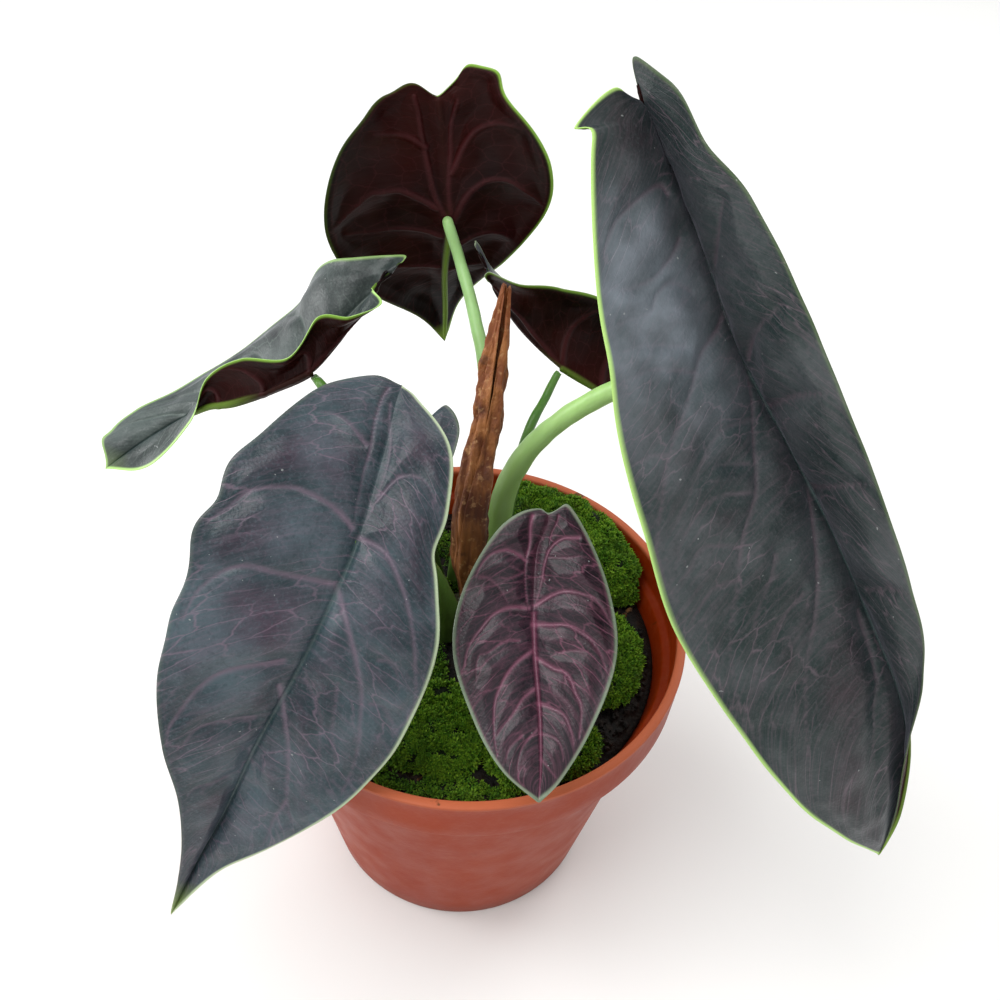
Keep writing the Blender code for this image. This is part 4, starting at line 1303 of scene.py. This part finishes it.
# %% Crown
def make_crown():
    low, high = (corner / MM for corner in (np.array(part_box("crown")[0]), np.array(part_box("crown")[1])))
    bpy.ops.object.select_all(action="DESELECT")
    bpy.ops.mesh.primitive_circle_add(vertices=48, radius=3.6 * MM, fill_type="NGON",
                                      location=(0, 0, low[2] * MM))
    crown = added("crown_stem")
    open_mesh(crown)
    rings = [(3.6, low[2]), (7.8, low[2] + 7.0), (6.6, 82.0)]
    for k in range(10):
        height = 82.5 + k * (high[2] - 82.8) / 10
        width = 6.2 - 0.15 * k
        rings += [(width, height), (width - 0.35, height + 0.35), (width - 0.3, height + 0.6)]
    rings += [(3.5, high[2]), (1.0, high[2])]
    extrude_rings(rings)
    bpy.ops.mesh.select_all(action="SELECT")
    bpy.ops.mesh.normals_make_consistent(inside=False)
    close_mesh()
    places = points_of(crown)
    for p in places:
        grow = 1 + 0.10 * noise.noise(Vector(p) * 300)
        p[0], p[1] = p[0] * grow + CROWN_X * MM, p[1] * grow + CROWN_Y * MM
    move_points(crown, places)
    return crown


def crown_skin():
    """Old stem tissue: dull green brown with dark scars."""
    material, tree, shader = fresh_material("scarred_stem", 0.7, 1.42)
    paint(tree, shader, "#21160a", [(patches(tree, 4, detail=4.0), 0.8, "#3a4016")])
    relief(tree, shader, patches(tree, 1.5, 0.2, 0.8, 5.0), 0.0004, 0.8)
    return material


crown = make_crown()
crown.data.materials.append(crown_skin())
take(crown)
bpy.ops.object.shade_smooth_by_angle(angle=math.radians(45))
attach(crown, "root")
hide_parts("crown")
print("crown faces:", faces_of(crown))

# %% Dried sheath
SHEATH = [(0, 8, 92), (-1, 7, 110), (-1, 8, 131), (1, 16, 145), (2, 23, 156), (3, 30, 166), (4, 36, 177)]
SHEATH_WIDTHS = [3.0, 4.2, 4.4, 3.6, 3.3, 2.3, 0.9]


def make_sheath():
    line = smooth_rail(SHEATH, 24)
    widths = np.interp(np.linspace(0, 6, len(line)), np.arange(7), SHEATH_WIDTHS)
    along = np.gradient(line, axis=0)
    along /= np.linalg.norm(along, axis=1)[:, None]
    rows, columns = len(line), 97
    bpy.ops.object.select_all(action="DESELECT")
    bpy.ops.mesh.primitive_grid_add(x_subdivisions=columns - 1, y_subdivisions=rows - 1, size=1)
    sheath = added("dried_leaf_sheath")
    points = np.empty((rows, columns, 3))
    for r in range(rows):
        side = np.cross(along[r], (0.0, 1.0, 0.2))
        side /= np.linalg.norm(side)
        front = np.cross(side, along[r])
        high = r / (rows - 1)
        for c in range(columns):
            share = c / (columns - 1)
            turn = -1.9 + math.tau * (1.16 - 0.28 * high) * share + 0.5 * high
            crease = 0.16 * math.sin(5 * turn + 2.2 * high) + 0.10 * math.sin(9 * turn - 5 * high)
            spot = Vector((math.cos(turn), math.sin(turn), high * 9))
            crumple = 0.28 * noise.noise(spot * 1.1) + 0.10 * noise.noise(spot * 4.0)
            radius = widths[r] * (0.92 + 0.16 * share + crease * (0.4 + high) + crumple * (0.6 + high))
            fray = 2.5 * max(0.0, high - 0.86) * noise.noise(Vector((share * 9, 0.5, 2))) * 8
            points[r, c] = (line[r] + radius * (math.cos(turn) * side + 0.62 * math.sin(turn) * front)
                            + along[r] * fray)
    move_points(sheath, points.reshape(-1, 3) * MM)
    store(sheath.data, "along", np.repeat(np.linspace(0, 1, rows), columns))
    store(sheath.data, "round", np.tile(np.linspace(0, 1, columns), rows))
    apply_modifier(sheath, "SOLIDIFY", thickness=0.25 * MM, offset=0.0)
    return sheath


def brown_paper():
    """Dead sheath tissue: papery, ribbed by its fibres, rust brown below and tan on the creases."""
    material, tree, shader = fresh_material("dry_sheath_paper", 0.6, 1.45)
    fibres = patches(tree, 3.2, 0.42, 0.66, 5.0, (1, 1, 0.14))
    upward = add_node(tree, "ShaderNodeMapRange", {"Value": stored(tree, "along"), "From Min": 0.15,
                                                   "From Max": 0.8})
    paint(tree, shader, "#3a1405", [
        (upward, 1.0, "#7c4118"),
        (fibres, 0.7, "#a56a36"),
        (patches(tree, 5.0, 0.55, 0.70, 4.0), 0.7, "#3a1506"),
        (patches(tree, 1.6, 0.58, 0.72), 0.5, "#c89a68"),
    ])
    relief(tree, shader, fibres, 0.0005, 1.0)
    return material


sheath = make_sheath()
sheath.data.materials.append(brown_paper())
take(sheath)
bpy.ops.object.shade_smooth()
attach(sheath, "root")
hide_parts("dried_sheath")
print("sheath faces:", faces_of(sheath))

# %% [markdown]
# ## The camera, the floor and the light
# A potted plant on a table is looked at from above. A phone-like lens close by makes the near
# leaves large. The light is that of a bright overcast room: a white sky all round, and one broad
# lamp above and to the left that draws a soft sheen along the blades.

# %% Camera, floor and light
CAMERA_AIM = (0.0063, 0.020, 0.120)
CAMERA_DISTANCE = 0.300
CAMERA_HEIGHT_ANGLE = 44.3
CAMERA_ROLL = 4.2
CAMERA_LENS = 39.6


def set_camera():
    rise = math.radians(CAMERA_HEIGHT_ANGLE)
    back = Vector((0, -math.cos(rise), math.sin(rise)))
    level_right = Vector((1, 0, 0))
    level_up = back.cross(level_right)
    roll = math.radians(CAMERA_ROLL)
    right = level_right * math.cos(roll) + level_up * math.sin(roll)
    up = level_up * math.cos(roll) - level_right * math.sin(roll)
    bpy.ops.object.select_all(action="DESELECT")
    bpy.ops.object.camera_add()
    camera = bpy.context.object
    turn = Matrix((right, up, back)).transposed().to_4x4()
    camera.matrix_world = Matrix.Translation(Vector(CAMERA_AIM) + back * CAMERA_DISTANCE) @ turn
    camera.data.lens = CAMERA_LENS
    camera.data.sensor_width = 36.0
    camera.data.clip_start = 0.01
    bpy.context.scene.camera = camera


def set_floor():
    bpy.ops.object.select_all(action="DESELECT")
    bpy.ops.mesh.primitive_plane_add(size=6.0, location=(0, 0, 0))
    floor = added("floor")
    material, tree, shader = fresh_material("white_studio_floor", 0.9)
    shader.inputs["Base Color"].default_value = screen("#f4f4f2")
    floor.data.materials.append(material)


def set_light():
    world = bpy.data.worlds.new("overcast")
    bpy.context.scene.world = world
    world.use_nodes = True
    sky = world.node_tree.nodes["Background"]
    sky.inputs["Color"].default_value = (1.0, 1.0, 1.0, 1.0)
    sky.inputs["Strength"].default_value = 0.72
    for name, place, size, power in (("broad_lamp", (-0.40, -0.20, 1.0), 0.8, 6.5),
                                     ("left_lamp", (-1.0, 0.15, 0.30), 0.5, 4.0),
                                     ("back_lamp", (0.5, 0.6, 0.8), 0.5, 2.5)):
        bpy.ops.object.select_all(action="DESELECT")
        bpy.ops.object.light_add(type="AREA", location=place)
        lamp = bpy.context.object
        lamp.name = name
        lamp.data.shape = "DISK"
        lamp.data.size = size
        lamp.data.energy = power
        aim = Vector((0, 0, 0.12)) - Vector(place)
        lamp.rotation_euler = aim.to_track_quat("-Z", "Y").to_euler()


set_camera()
set_floor()
set_light()
bpy.context.scene.view_settings.view_transform = "Standard"
print("camera lens in mm:", CAMERA_LENS)
